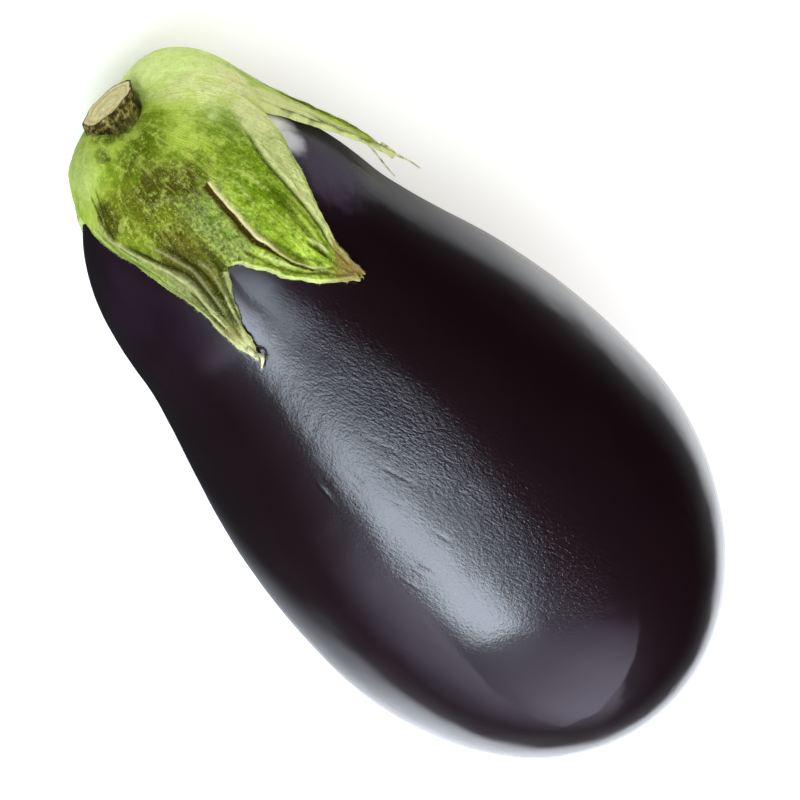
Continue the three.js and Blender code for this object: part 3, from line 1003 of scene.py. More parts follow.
def lobe_places(index, u, v):
    """The reach and turn of each place of a lobe, and how far inside the lobe's margin it is."""
    lobe = LOBES[index]
    last = index == len(LOBES) - 1
    a_reach, a_turn = edge_line(lobe, SINUSES[index], lobe["before"], -1, 0, u)
    after = SINUSES[0 if last else index + 1]
    b_reach, b_turn = edge_line(lobe, after, lobe["after"], 1, 360 if last else 0, u)
    across = (v + 1) / 2
    middle = lerp(STEM_HOLE, lobe["tip"][0], u) - lobe["lag"] * 4 * u * (1 - u)
    reach = lerp(a_reach, b_reach, across) + (1 - v * v) * (middle - (a_reach + b_reach) / 2)
    turn = lerp(a_turn, b_turn, across)

    started = smoothstep(u, CUP_END, CUP_END + LOBE_START)
    width = np.maximum((b_turn - a_turn) * NECK[1], 1.0)
    margin = (1 - np.abs(v)) * width / 2 + (1 - started) * 6
    waves = np.sin(reach * 1.1 + 4 * index) * 0.2 + np.sin(reach * 2.9 + index) * 0.09
    wave = started * waves * np.abs(v) ** 6
    turn = turn + np.sign(v) * wave / NECK[1]

    points = lobe["points"]
    if points:
        teeth = np.abs(np.sin(across * math.pi * points)) if points > 1 else 1 - v * v
        reach = reach + smoothstep(u, 0.955, 1) * (teeth * 1.6 - 0.8)
    return reach, turn, margin


def lobe_flesh(index, u, v, reach, turn, margin):
    """How thick a lobe is before its creases and fold, and the ribs along it."""
    free = smoothstep(u, CUP_END, 1)
    started = smoothstep(u, CUP_END, CUP_END + LOBE_START)
    cup = lerp(CUP_THICKNESS, LOBE_THICKNESS, u / CUP_END)
    flesh = np.where(u < CUP_END, cup, lerp(LOBE_THICKNESS, TIP_THICKNESS, free))
    rib = 0.7 * bell(v, RIB_WIDTH) * smoothstep(u, 0.1, 0.4) * (1 - free)
    brim = 1 - 0.16 * (1 - smoothstep(reach, STEM_HOLE, STEM_HOLE + 1.6))

    # The flesh thins towards the margin, with a low bead on it and a groove inside that.
    thin = lerp(1, 0.62, np.exp(-margin / 2.4) * started)
    bead = 0.28 * bell(margin - 0.7, 0.45) * started
    groove = -0.30 * bell(margin - 1.7, 0.5) * started * (1 - 0.6 * free)
    height = (flesh * thin + rib + swelling(reach, turn) + bead + groove) * brim

    # Long ribs that follow the lobe, strongest on its outer half.
    bend = v + 0.05 * rough(reach / 7, v * 2, index + 3)
    ribs = np.sin(bend * 13 + 0.7 * index) * 0.6 + np.sin(bend * 27 + 1.9 * index + reach * 0.05) * 0.4
    outer = smoothstep(u, 0.3, 0.62) * (1 - 0.4 * free)
    ribbed = LOBES[index]["rib"] * ribs * outer * smoothstep(margin, 0.4, 2.4)
    wrinkles = 0.13 * rough(reach / 1.3, turn * 22, index) * smoothstep(reach, 14, 26)
    return height + ribbed + wrinkles, ribs


def lobe_grid(index, steps, strips):
    """Everything about one lobe on a grid of u out from the stem and v across it."""
    lobe = LOBES[index]
    u = np.linspace(0, 1, steps + 1)[:, None] * np.ones(strips + 1)
    even = np.linspace(-1, 1, strips + 1)
    crowded = np.sin(even * math.pi / 2 * CROWDING) / math.sin(math.pi / 2 * CROWDING)
    v = crowded[None, :] * np.ones_like(u)
    v[:, 0], v[:, -1] = -1, 1
    reach, turn, margin = lobe_places(index, u, v)
    free = smoothstep(u, CUP_END, 1)
    lift = lobe["lift"] * free * (0.35 + 0.65 * free)
    ripple = lobe["ripple"] * free * (1 - free) * v**3 * np.sin(9 * u + 2 * index) * 2
    under = SKIN_GAP + lift + np.maximum(0, ripple)
    height, ribs = lobe_flesh(index, u, v, reach, turn, margin)
    folds, pale, dark = creases_of(index, reach, turn)
    height = height + folds

    past = np.full_like(reach, NO_FOLD)
    if index == 0:
        rises, lean, past = fold_of(reach, turn)
        height = sum(rises, height)
        turn = turn - lean

    # The margin ends in a rounded lip.
    lip = np.sqrt(np.clip(1 - (1 - np.clip(margin / 0.9, 0, 1)) ** 2, 0, 1))
    upper = under + np.maximum(height * lip, 0.12)
    return {
        "upper": calyx_point(reach, turn, upper),
        "under": calyx_point(reach, turn, under),
        "reach": reach,
        "turn": turn,
        "margin": margin,
        "past": past,
        "rib": ribs * lobe["rib"] * 3,
        "pale": pale,
        "dark": dark,
        "band": band_of(index, reach, turn),
        "tip": u,
    }


# Steps out from the stem, and strips across each lobe: more on the lobes with the finest creases.
LOBE_STEPS = 128
LOBE_STRIPS = [104, 60, 36, 36, 20, 84]

# How much closer together the strips are towards the margins: nought would space them evenly.
CROWDING = 0.8

# What each corner keeps for the material and the rules, and which of it is in millimetres.
MEASURED = ("reach", "margin", "past")
STORED = ("reach", "turn", "margin", "past", "rib", "pale", "dark", "band", "tip")


def calyx_mesh():
    """The calyx: six lobes, each with an outer face, an inner face and walls round its margins."""
    points, faces = [], []
    stored = {name: [] for name in (*STORED, "outside")}
    first = 0
    for index, strips in enumerate(LOBE_STRIPS):
        grid = lobe_grid(index, LOBE_STEPS, strips)
        count = grid["reach"].size
        for side in ("upper", "under"):
            points.append(grid[side].reshape(-1, 3))
            for name in STORED:
                stored[name].append(grid[name].ravel() * (MM if name in MEASURED else 1.0))
            stored["outside"].append(np.full(count, 1.0 if side == "upper" else 0.0))
        ids = np.arange(count).reshape(LOBE_STEPS + 1, strips + 1)
        a, b = ids[:-1, :-1].ravel(), ids[1:, :-1].ravel()
        c, d = ids[1:, 1:].ravel(), ids[:-1, 1:].ravel()
        faces.append(np.stack([a, b, c, d], 1) + first)
        faces.append(np.stack([a, d, c, b], 1) + first + count)
        cup_row = int(CUP_END * LOBE_STEPS)
        walls = [(ids[cup_row:, 0], False), (ids[cup_row:, -1], True), (ids[0, :], True), (ids[-1, :], False)]
        for line, flip in walls:
            p, q = line[:-1], line[1:]
            wall = np.stack([p, q, q + count, p + count], 1) + first
            faces.append(wall[:, ::-1] if flip else wall)
        first += 2 * count
    mesh = new_mesh("calyx_blank", np.vstack(points), np.vstack(faces).tolist())
    for name, values in stored.items():
        store(mesh, name, np.concatenate(values))
    clean(mesh, 0.02 * MM)
    return mesh


def calyx_rule(size, material):
    """Fine veins and grain raised on the calyx's outer face."""
    sizes = {
        "Vein Height": size.vein_height,
        "Grain Height": size.grain_height,
        "Vein Spacing": size.vein_spacing,
    }
    rule = Rule("Veins and grain", {**sizes, "Material": material})
    tree = rule.tree
    reach = named(tree, "reach")
    turn = named(tree, "turn")
    outside = named(tree, "outside")
    margin = named(tree, "margin")
    across = turn * (NECK[1] * MM)
    wander = noise(tree, combine(tree, reach, across, 0.0), 160.0, 2.0, 0.5) * 0.004
    lines = combine(tree, reach * 0.12, across + wander, 0.0)
    veins = noise(tree, lines, rule["Vein Spacing"].math("POWER", -1.0), 2.0, 0.6).ramp(0.4, 0.68)
    grain = noise(tree, combine(tree, reach, across, 0.0), 900.0, 3.0, 0.7)
    mask = outside * margin.ramp(0.0002, 0.0015)
    height = (rule["Vein Height"] * (veins - 0.5) + rule["Grain Height"] * (grain - 0.5)) * mask
    normal = add_node(tree, "GeometryNodeInputNormal").outputs[0]
    inputs = {"Geometry": rule["Geometry"], "Offset": vector_math(tree, "SCALE", normal, scale=height)}
    moved = add_node(tree, "GeometryNodeSetPosition", inputs)
    rule.finish(moved.outputs[0])
    return rule


# The most that a hair leans either way, and the most that it turns, in radians.
HAIR_LEAN = 0.9
HAIR_TURN = 6.28


def down_rule(size, material):
    """Short soft hairs scattered over the calyx's outer face and thicker along its margins."""
    sizes = {"Spacing": size.down_spacing, "Length": size.down_length, "Thickness": size.down_thickness}
    rule = Rule("Down", {**sizes, "Seed": 7, "Material": material})
    tree = rule.tree
    seed = rule["Seed"]
    near_edge = named(tree, "margin").ramp(0.0035, 0.0)
    density = (near_edge * 0.8 + 0.2) * named(tree, "outside") / (rule["Spacing"] * rule["Spacing"])
    inputs = {"Mesh": rule["Geometry"], "Density": density, "Seed": seed}
    spread = add_node(tree, "GeometryNodeDistributePointsOnFaces", inputs, distribute_method="RANDOM")
    radius = rule["Thickness"] * 0.5
    inputs = {"Vertices": 3, "Radius Top": 0.0, "Radius Bottom": radius, "Depth": rule["Length"]}
    hair = add_node(tree, "GeometryNodeMeshCone", inputs, fill_type="NONE")
    least, most = (-HAIR_LEAN, -HAIR_LEAN, 0.0), (HAIR_LEAN, HAIR_LEAN, HAIR_TURN)
    inputs = {0: least, 1: most, "Seed": seed}
    lean = add_node(tree, "FunctionNodeRandomValue", inputs, data_type="FLOAT_VECTOR")
    inputs = {0: spread.outputs["Rotation"], 1: lean.outputs["Value"]}
    standing = add_node(tree, "FunctionNodeRotateRotation", inputs, rotation_space="LOCAL")
    inputs = {2: 0.5, 3: 1.3, "Seed": seed + 1.0}
    grown = add_node(tree, "FunctionNodeRandomValue", inputs, data_type="FLOAT")
    inputs = {
        "Points": spread.outputs["Points"],
        "Instance": hair.outputs["Mesh"],
        "Rotation": standing.outputs[0],
        "Scale": grown.outputs[1],
    }
    placed = add_node(tree, "GeometryNodeInstanceOnPoints", inputs)
    rule.finish(placed.outputs[0])
    return rule


# Patches of colour on the calyx, laid over each other in this order: the colour's name, how strongly it
# covers, the radius in millimetres, how ragged it is, and the centres as a reach and an angle in degrees.
PATCHES = [
    # The next two rows are partly paler flesh and partly a painted highlight, on the shoulder and on the
    # collar.
    ("pale_green_and_highlight", 0.95, 12, 0.35, [(13, 100), (19, 84), (22, 55), (9, 150), (30, 110), (30, 140)]),
    ("left_green_and_highlight", 0.80, 8, 0.4, [(10, 268), (12, 297), (8, 240), (17, 240), (16, 200)]),
    ("yellow_green", 0.8, 7, 0.6, [(15.4, 39), (20, 31), (24, 24)]),
    ("deep_green", 0.85, 11, 0.5, [(31, 36), (36, 29), (28, 44)]),
    ("deep_green", 0.3, 9, 0.5, [(45, 24), (50, 22)]),
    ("olive_green", 0.85, 6, 0.6, [(13.7, 7), (11.6, 25), (15, 340)]),
    ("mound_green", 0.95, 8, 0.5, [(28, 346), (24, 336), (31, 352), (22, 326)]),
    ("grey_green", 0.85, 6.5, 0.4, [(33.5, 2.5), (37.5, 2), (41, 0), (31, 5)]),
    ("olive_brown", 0.50, 8.5, 0.5, [(23.4, 1.7), (19.5, -5), (25.5, 8), (22, 346)]),
    ("olive_brown", 0.85, 4.4, 0.6, [(24.5, 2), (21, -4), (26, 9), (22, 350)]),
    ("olive_brown", 0.85, 3.6, 0.6, [(20.6, 317), (23.6, 321)]),
    ("olive_brown", 0.75, 6.5, 0.6, [(34, 343), (39, 347), (43, 347)]),
    ("groove_brown_and_shade", 0.45, 4.5, 0.8, [(13.5, 350), (12.5, 10)]),
    # Painted shade at the stem's foot, where it sinks into the calyx.
    ("groove_brown_and_shade", 0.75, 2.2, 0.9, [(8.6, 320), (9.0, 338), (8.6, 356), (11, 330)]),
    ("margin_cream", 0.5, 4.5, 0.8, [(17, 70), (14, 62), (20, 62)]),
    ("margin_cream", 0.92, 5.0, 0.4, [(24.9, 75), (27, 60), (23.5, 80), (32, 78), (38, 78), (30, 54)]),
]


def calyx_material(look):
    """Mottled green flesh with pale margins, brown grooves and dry points, with painted highlight and shade.
    """
    green = Surface("calyx_green", look.leaf_green)
    tree = green.tree
    field = {name: green.stored(name) for name in (*STORED, "outside")}
    reach, turn, margin, past = (field[name] for name in ("reach", "turn", "margin", "past"))
    flat = combine(tree, reach, turn * (NECK[1] * MM), 0.0)
    felt = green.grain(0.75, 3.2)
    fibres = green.group("Fibres", Vector=flat, Length=9.0, Width=0.8, Wander=3.0)
    streaks = green.group("Fibres", Vector=flat, Length=26.0, Width=2.2, Wander=5.0)

    # Broad patches, then mottling, streaks and felt over them.
    green.lay(green.noise(85.0, 3.0, 0.6).ramp(0.35, 0.65), look.yellow_green)
    mottle = green.noise(260.0, 3.0, 0.6)
    for name, strength, radius, ragged, centres in PATCHES:
        spots = [spot_on_calyx(*centre) for centre in centres]
        green.lay(green.blotches(spots, radius, ragged) * strength, getattr(look, name))
    worn = turn.bell(6.28, 0.9).math("MAXIMUM", turn.bell(0.0, 1.0))
    green.lay(mottle.ramp(0.48, 0.34) * (worn * 0.5 + 0.08), look.deep_green)
    green.lay(mottle.ramp(0.55, 0.68) * 0.45, look.vein_green)
    green.lay(streaks.ramp(0.5, 1.0) * 0.3, look.vein_green)
    green.lay(felt.ramp(0.55, 0.9) * 0.44, look.vein_green)
    outer = reach.ramp(0.016, 0.032)
    green.lay(felt.ramp(0.45, 0.1) * (worn * outer * 0.46 + 0.10), look.groove_brown_and_shade)

    # The crumpled swelling over the second lobe, and the brown grooves of that lobe.
    crumpled = (turn.wrapped() + 0.20).bell(0.0, 0.42) * reach.ramp(0.016, 0.026)
    crumples = noise(tree, flat, 1500.0, 3.0, 0.6)
    green.lay(crumples.ramp(0.52, 0.36) * crumpled * 0.62, look.olive_brown)
    green.lay(crumples.ramp(0.56, 0.72) * crumpled * 0.5, look.vein_green)
    body = reach.ramp(0.028, 0.038) * (turn - 5.98).bell(0.0, 0.20)
    green.lay(body * (felt * 0.25 + 0.72), look.olive_brown)
    grooves = field["rib"].ramp(-0.05, -0.45) * reach.ramp(0.034, 0.044)
    green.lay(grooves * 0.6, look.groove_brown_and_shade)

    # Margins, ridges and creases, whose dark tint is partly brown grooves and partly painted shade.
    band = field["band"] * (felt * 0.5 + 0.5)
    green.lay(band * 0.9, look.band_green)
    green.lay((margin / 0.0008).ramp(1.3, 0.7) * (felt * 0.4 + 0.4), look.band_green)
    green.lay(field["pale"] * (felt * 0.5 + 0.5), look.margin_cream)
    green.lay(field["dark"] * 0.92, look.groove_brown_and_shade)

    # The fold's pale lip and the shaded groove beside it, both narrower towards the lobe's point.
    narrow = reach.ramp(0.051, 0.043)
    lip = past.bell(0.0002, narrow * 0.00025 + 0.00015)
    green.lay(lip * (narrow * 0.55 + 0.4) * (felt * 0.4 + 0.75), look.lip_cream)
    shade = (past / (narrow * 0.0011 + 0.0005)).ramp(-1.45, -0.75) * past.ramp(0.0001, -0.0002)
    green.lay(shade * 0.95, look.fold_brown)

    # Dry points, and the paler inner face.
    on_first = (turn - 0.43).bell(0.0, 0.22)
    dry = field["tip"].ramp(0.84, 0.93) * (fibres * 0.35 + 0.65) * (on_first * 0.75 + 0.25)
    green.lay(dry, look.dry_tip)
    green.lay(field["tip"].ramp(0.9, 0.96) * on_first.flipped() * 0.55, look.margin_cream)
    green.lay(field["outside"].flipped() * 0.7, look.pale_green_and_highlight)
    relief = felt * 0.6 + fibres * 0.35 + crumples * crumpled * 1.6
    normal = green.bump(relief, 0.4 * MM)
    green.constants(Specular_IOR_Level=0.05)
    return green.finish(Base_Color=green.laid, Roughness=felt * 0.15 + 0.72, Normal=normal)


def plain_hair_material(look):
    """Soft pale hairs."""
    hair = Surface("calyx_down", look.down_green)
    tone = hair.noise(300.0, 2.0)
    hair.lay(tone, look.pale_green_and_highlight)
    hair.constants(Specular_IOR_Level=0.2)
    return hair.finish(Base_Color=hair.laid, Roughness=tone * 0.1 + 0.75)


def tube(points, radii, sides=10):
    """A closed tapering tube through points, as corners and faces."""
    points = np.array(points, float)
    ways = np.gradient(points, axis=0)
    ways /= np.linalg.norm(ways, axis=1)[:, None]
    side = np.cross(ways[0], [0.3, 0.2, 1.0])
    rings = []
    for centre, way, radius in zip(points, ways, radii):
        side = side - way * (side @ way)
        side /= np.linalg.norm(side)
        other = np.cross(way, side)
        turns = np.linspace(0, 2 * math.pi, sides, endpoint=False)[:, None]
        rings.append(centre + radius * (np.cos(turns) * side + np.sin(turns) * other))
    return np.vstack([*rings, points[:1], points[-1:]]), closed_faces(len(points), sides)


# Dry threads at the lobes' tips, as places with a height over the skin.
THREADS = [
    {
        "places": [(56.5, 86.5, 4.9), (59, 87, 5.1), (61.5, 87.5, 5.0), (64.5, 88, 5.4), (68, 88.6, 5.2)],
        "radii": (0.45, 0.12),
    },
    {
        "places": [(50, 81, 3.4), (53.5, 81.5, 3.4), (57, 82, 2.7), (60, 82.5, 2.0), (63, 83, 1.3)],
        "radii": (0.3, 0.1),
    },
    {
        "places": [
            (58.5, -19.5, 1.8),
            (60.3, -19.0, 2.2),
            (61.2, -17.6, 2.5),
            (62.2, -17.8, 2.3),
            (63.2, -19.6, 1.6),
            (64, -21.5, 0.9),
        ],
        "radii": (0.6, 0.22),
    },
]
THREAD_STEPS = 28


def thread_mesh():
    """The threads as tapering tubes."""
    corners, faces = [], []
    for thread in THREADS:
        t = np.linspace(0, 1, THREAD_STEPS)
        way = spline(thread["places"], t)
        points = skin_point(way[:, 0], np.radians(way[:, 1]), way[:, 2])
        more, more_faces = tube(points, lerp(*thread["radii"], t))
        start = sum(len(c) for c in corners)
        corners.append(more)
        faces += [tuple(start + k for k in face) for face in more_faces]
    mesh = new_mesh("calyx_threads", np.vstack(corners), faces)
    clean(mesh, TOUCHING)
    return mesh


def thread_material(look):
    """Dry greyish thread."""
    dry = Surface("dry_thread", look.thread_grey)
    tone = dry.noise(500.0, 3.0)
    dry.constants(Specular_IOR_Level=0.2)
    dry.lay(tone.ramp(0.3, 0.7), look.margin_cream)
    return dry.finish(Base_Color=dry.laid, Roughness=tone * 0.2 + 0.7)


# The stem.


# Faces round the stem, rows up its side, and rings on its cut face.
STEM_SIDES = 120
STEM_ROWS = 30
STEM_RINGS = 16


def stem_levels(size):
    """The mesh's levels, up the side and then in over the cut: how far up, how far out, and the radius."""
    foot, waist, cut = (r / MM for r in (size.foot_radius, size.waist_radius, size.cut_radius))
    heights = [0, 0.3, 0.55, 0.8, 1]
    radii = [foot, waist, waist, lerp(waist, cut, 0.7), cut]
    ups = [row / STEM_ROWS for row in range(STEM_ROWS + 1)]
    outs = [1 - ring / STEM_RINGS for ring in range(1, STEM_RINGS)]
    return [(up, 1.0, np.interp(up, heights, radii)) for up in ups] + [(1.0, out, cut * out) for out in outs]


def stem_ring(up, out, radius, round_):
    """One level's points: ridged and fibrous at the side, ragged at the edge and dished on the cut."""
    ridge = 1 + 0.035 * np.cos(7 * round_) * smoothstep(up, 0, 0.4) * out
    fibre = 0.16 * rough(round_ * 9, up * 1.5, 2) + 0.1 * rough(round_ * 21, up * 2.5, 5)
    spread = radius * ridge + fibre * out * smoothstep(up, 0.1, 0.3)
    ragged = -0.35 * np.clip(rough(round_ * 6, 1.0, 8) - 0.15, 0, 1) * (out > 0.99) * (up > 0.99)
    height = up * STEM_HEIGHT + ragged
    if up >= 1:
        dish = -0.25 * (1 - out**4) + 0.12 * rough(round_ * 3, out * 7, 4) * (1 - out)
        height = height + dish + 0.10 * bell(out - 0.9, 0.05) - 0.15
    y = spread * np.sin(round_)
    z = spread * np.cos(round_)
    cut_back = math.tan(STEM_CUT_TILT) * z * smoothstep(up, 0.7, 1)
    return np.stack([-height - STEM_FOOT + cut_back, y + STEM_LEAN * up * up, z], 1)


def stem_mesh(size):
    """The stub's side from its foot to the cut, then the cut face in rings to its middle."""
    round_ = np.linspace(0, 2 * math.pi, STEM_SIDES, endpoint=False)
    levels = stem_levels(size)
    points = [stem_ring(*level, round_) for level in levels]
    foot_middle = [[-STEM_FOOT, 0, 0]]
    cut_middle = [[points[-1][:, 0].mean(), STEM_LEAN, 0]]
    corners = np.vstack([*points, foot_middle, cut_middle])
    mesh = new_mesh("eggplant_stem", corners, closed_faces(len(levels), STEM_SIDES))
    ups, outs, _ = zip(*levels)
    store(mesh, "up", np.concatenate([np.repeat(ups, STEM_SIDES), [0.0, 1.0]]))
    store(mesh, "out", np.concatenate([np.repeat(outs, STEM_SIDES), [0.0, 0.0]]))
    store(mesh, "round", np.concatenate([np.tile(round_, len(levels)), [0.0, 0.0]]))
    clean(mesh, TOUCHING)
    return mesh


def stem_material(look):
    """Fibrous bark, greenish and painted with shade at its foot, and a pale cut face with darker rings and
    edge.
    """
    stem = Surface("cut_stem", look.bark_dark)
    up = stem.stored("up")
    out = stem.stored("out")
    face = up.ramp(0.985, 0.999) * out.ramp(1.0, 0.97)
    turn = stem.stored("round")
    flat = combine(stem.tree, up * (STEM_HEIGHT * MM), turn * (STEM_RADIUS * MM), 0.0)
    fibres = stem.group("Fibres", Vector=flat, Length=5.0, Width=0.5, Wander=1.0)
    grain = stem.grain(0.6, 2.0)
    crumbs = stem.noise(750.0, 3.0, 0.65)
    stem.lay(fibres * 0.6 + crumbs.ramp(0.4, 0.6) * 0.4, look.bark_light)
    stem.lay(up.ramp(0.65, 0.2) * (grain * 0.6 + 0.4) * 0.7, look.bark_green)
    stem.lay(crumbs.ramp(0.56, 0.46) * up.ramp(0.2, 0.6) * 0.85, look.bark_dark)
    stem.lay(crumbs.ramp(0.60, 0.68) * 0.8, look.cut_tan)
    # Painted shade round the stem's foot, where it meets the calyx.
    stem.lay(up.bell(0.0, 0.10) * 0.6, look.bark_dark)
    cut = stem.mix(grain.ramp(0.3, 0.75), look.cut_tan, look.cut_pale)
    rings = out.bell(0.78, 0.05) * 0.45 + out.bell(0.42, 0.1) * 0.25
    cut = stem.mix(rings, cut, look.cut_ring)
    cut = stem.mix(out.ramp(0.90, 0.97) * crumbs.ramp(0.35, 0.55), cut, look.bark_dark)
    stem.lay(face, cut)
    stem.constants(Specular_IOR_Level=0.2)
    relief = (fibres * 0.7 + crumbs * 1.5) * face.flipped() + grain * 0.5
    return stem.finish(Base_Color=stem.laid, Roughness=grain * 0.2 + 0.7, Normal=stem.bump(relief, 0.5 * MM))


# The stage.


def card(name, half_width, half_height, place=Matrix()):
    """A mesh of one rectangle round the origin, in metres, moved to its place."""
    w, h = half_width, half_height
    mesh = bpy.data.meshes.new(name)
    corners = [place @ Vector(c) for c in ((-w, -h, 0), (w, -h, 0), (w, h, 0), (-w, h, 0))]
    mesh.from_pydata(corners, [], [(0, 1, 2, 3)])
    return mesh


def look_from(location, target, roll_up):
    """A matrix at location that looks at target, with roll_up upwards in the picture."""
    back = (Vector(location) - Vector(target)).normalized()
    up = (Vector(roll_up) - back * Vector(roll_up).dot(back)).normalized()
    right = up.cross(back)
    return Matrix.Translation(location) @ Matrix((right, up, back)).transposed().to_4x4()


def add_camera():
    """The photograph's view."""
    tilt, roll = VIEW_TILT, VIEW_ROLL
    back = np.array([-math.sin(tilt), 0, math.cos(tilt)])
    away = np.array([math.cos(tilt), 0, math.sin(tilt)])
    side = np.array([0, 1, 0])
    right = math.cos(roll) * away + math.sin(roll) * side
    up = -math.sin(roll) * away + math.cos(roll) * side
    distance = VIEW_WIDTH * LENS / SENSOR
    target = np.array([VIEW_ALONG, 0, 0]) + VIEW_SHIFT[0] * right + VIEW_SHIFT[1] * up
    ends = laid_down(np.stack([target, target + distance * back, target + up]))
    data = bpy.data.cameras.new("Photograph view")
    data.lens = LENS
    data.sensor_width = SENSOR
    data.clip_start = NEAREST_SEEN
    camera = bpy.data.objects.new("Photograph view", data)
    camera.matrix_world = look_from(ends[1], ends[0], ends[2] - ends[0])
    bpy.context.scene.collection.objects.link(camera)
    bpy.context.scene.camera = camera


def facing(seen_from, direction, distance, lean=0.0):
    """A matrix that faces a place in millimetres from an azimuth and elevation, leaning to the right."""
    a, e, t = (math.radians(angle) for angle in (*direction, lean))
    way = Vector((math.cos(e) * math.cos(a), math.cos(e) * math.sin(a), math.sin(e)))
    up = Vector((-math.sin(e) * math.cos(a), -math.sin(e) * math.sin(a), math.cos(e)))
    target = Vector(seen_from) * MM
    return look_from(target + way * distance, target, up * math.cos(t) + up.cross(way) * math.sin(t))


# In metres: the floor's half width, the middle of the part of it that the gloss shows pale, and how far
# from there that part has faded out and is whole.
FLOOR_HALF = 5.0
FLOOR_MIDDLE = (0.080, -0.032)
FLOOR_FADE = (0.235, 0.135)

# Light colours: the key's, the dimmer softboxes' and the fills'.
STEEL = (0.76, 0.87, 1.0)
MAUVE = (0.82, 0.77, 1.0)
FILL_COLOUR = (1.0, 0.98, 0.91)


def add_fill(name, seen_from, direction, distance, size, radiance):
    """A large soft light that the gloss doesn't show."""
    data = bpy.data.lights.new(name, "AREA")
    data.shape = "RECTANGLE"
    data.size, data.size_y = size
    data.energy = radiance * math.pi * size[0] * size[1]
    data.color = FILL_COLOUR
    light = bpy.data.objects.new(name, data)
    light.matrix_world = facing(seen_from, direction, distance)
    light.visible_glossy = False
    bpy.context.scene.collection.objects.link(light)


def softbox_material(name, radiance, colour, edges, dim):
    """A glow that fades at the left, right, lower and upper edge, and is dimmer towards the left."""
    box = Surface(name)
    tree = box.tree
    u, v, _ = parts(tree, add_node(tree, "ShaderNodeTexCoord").outputs["UV"])
    left, right, lower, upper = edges
    level = u.ramp(0.0, left) * u.flipped().ramp(0.0, right)
    level = level * v.ramp(0.0, lower) * v.flipped().ramp(0.0, upper)
    level = level * (u * (1 - dim) + dim)
    shown = box.mix(level, (0, 0, 0), colour)
    glow = add_node(tree, "ShaderNodeEmission", {"Color": shown, "Strength": radiance})
    tree.links.new(glow.outputs[0], tree.nodes["Material Output"].inputs["Surface"])
    return box.material


def add_softbox(name, seen_from, direction, distance, size, light, edges, dim=1.0, lean=0.0):
    """A glowing card in a direction from a place, hidden from the camera and casting no shadow."""
    place = facing(seen_from, direction, distance, lean)
    mesh = card(name, size[0] / 2, size[1] / 2, place)
    uv = mesh.uv_layers.new(name="UVMap")
    for loop, spot in zip(uv.data, ((0, 0), (1, 0), (1, 1), (0, 1))):
        loop.uv = spot
    box = piece_of(name, mesh, softbox_material(name, *light, edges, dim))
    box.visible_camera = False
    box.visible_shadow = False


def floor_material(colour):
    """A pale floor that glows faintly to the camera, and that the gloss shows pale on one side alone."""
    floor = Surface("pale_floor")
    tree = floor.tree
    x, y, _ = parts(tree, floor.place)
    along, across = (x - FLOOR_MIDDLE[0], y - FLOOR_MIDDLE[1])
    near = (along * along + across * across).math("SQRT").ramp(*FLOOR_FADE)
    side = (x * 0.90 + y * 0.42).ramp(-0.04, 0.07) * near
    path = add_node(tree, "ShaderNodeLightPath")
    seen, mirrored = (Term(tree, path.outputs[name]) for name in ("Is Camera Ray", "Is Glossy Ray"))
    dark = floor.mix(side, tuple(c * 0.015 for c in colour), colour)
    tone = floor.noise(6.0, 2.0)
    floor.constants(Specular_IOR_Level=0.1, Emission_Color=(1.0, 1.0, 1.0, 1.0))
    glow = seen.math("MAXIMUM", mirrored * side * 0.45) * 0.3
    shown = floor.mix(mirrored, colour, dark)
    return floor.finish(Base_Color=shown, Roughness=tone * 0.1 + 0.85, Emission_Strength=glow)


def add_world(dark, pale):
    """Dark all round, as in a studio, with a pale backdrop where the camera looks past the floor."""
    world = bpy.data.worlds.new("Studio")
    world.use_nodes = True
    tree = world.node_tree
    background = tree.nodes["Background"]
    seen = add_node(tree, "ShaderNodeLightPath").outputs["Is Camera Ray"]
    inputs = {0: seen, 6: (dark, dark, dark * 1.1, 1.0), 7: (pale, pale, pale, 1.0)}
    mixed = add_node(tree, "ShaderNodeMix", inputs, data_type="RGBA")
    feed(tree, background.inputs["Color"], mixed.outputs[2])
    bpy.context.scene.world = world


# Properties, operators and panel.


def length(name, about, value):
    """A size, given in millimetres."""
    how = {"unit": "LENGTH", "subtype": "DISTANCE", "precision": 5}
    return FloatProperty(name=name, description=about, default=value * MM, **how)


def angle(name, about, value):
    """An angle, given in radians."""
    return FloatProperty(name=name, description=about, default=value, unit="ROTATION", subtype="ANGLE")


def paint(name, about, value):
    """A colour in linear light."""
    how = {"size": 3, "min": 0, "max": 1, "subtype": "COLOR"}
    return FloatVectorProperty(name=name, description=about, default=value, **how)


def brightness(name, about):
    """A light's share of its usual brightness."""
    return FloatProperty(name=name, description=about, default=1.0, subtype="FACTOR", max=4)


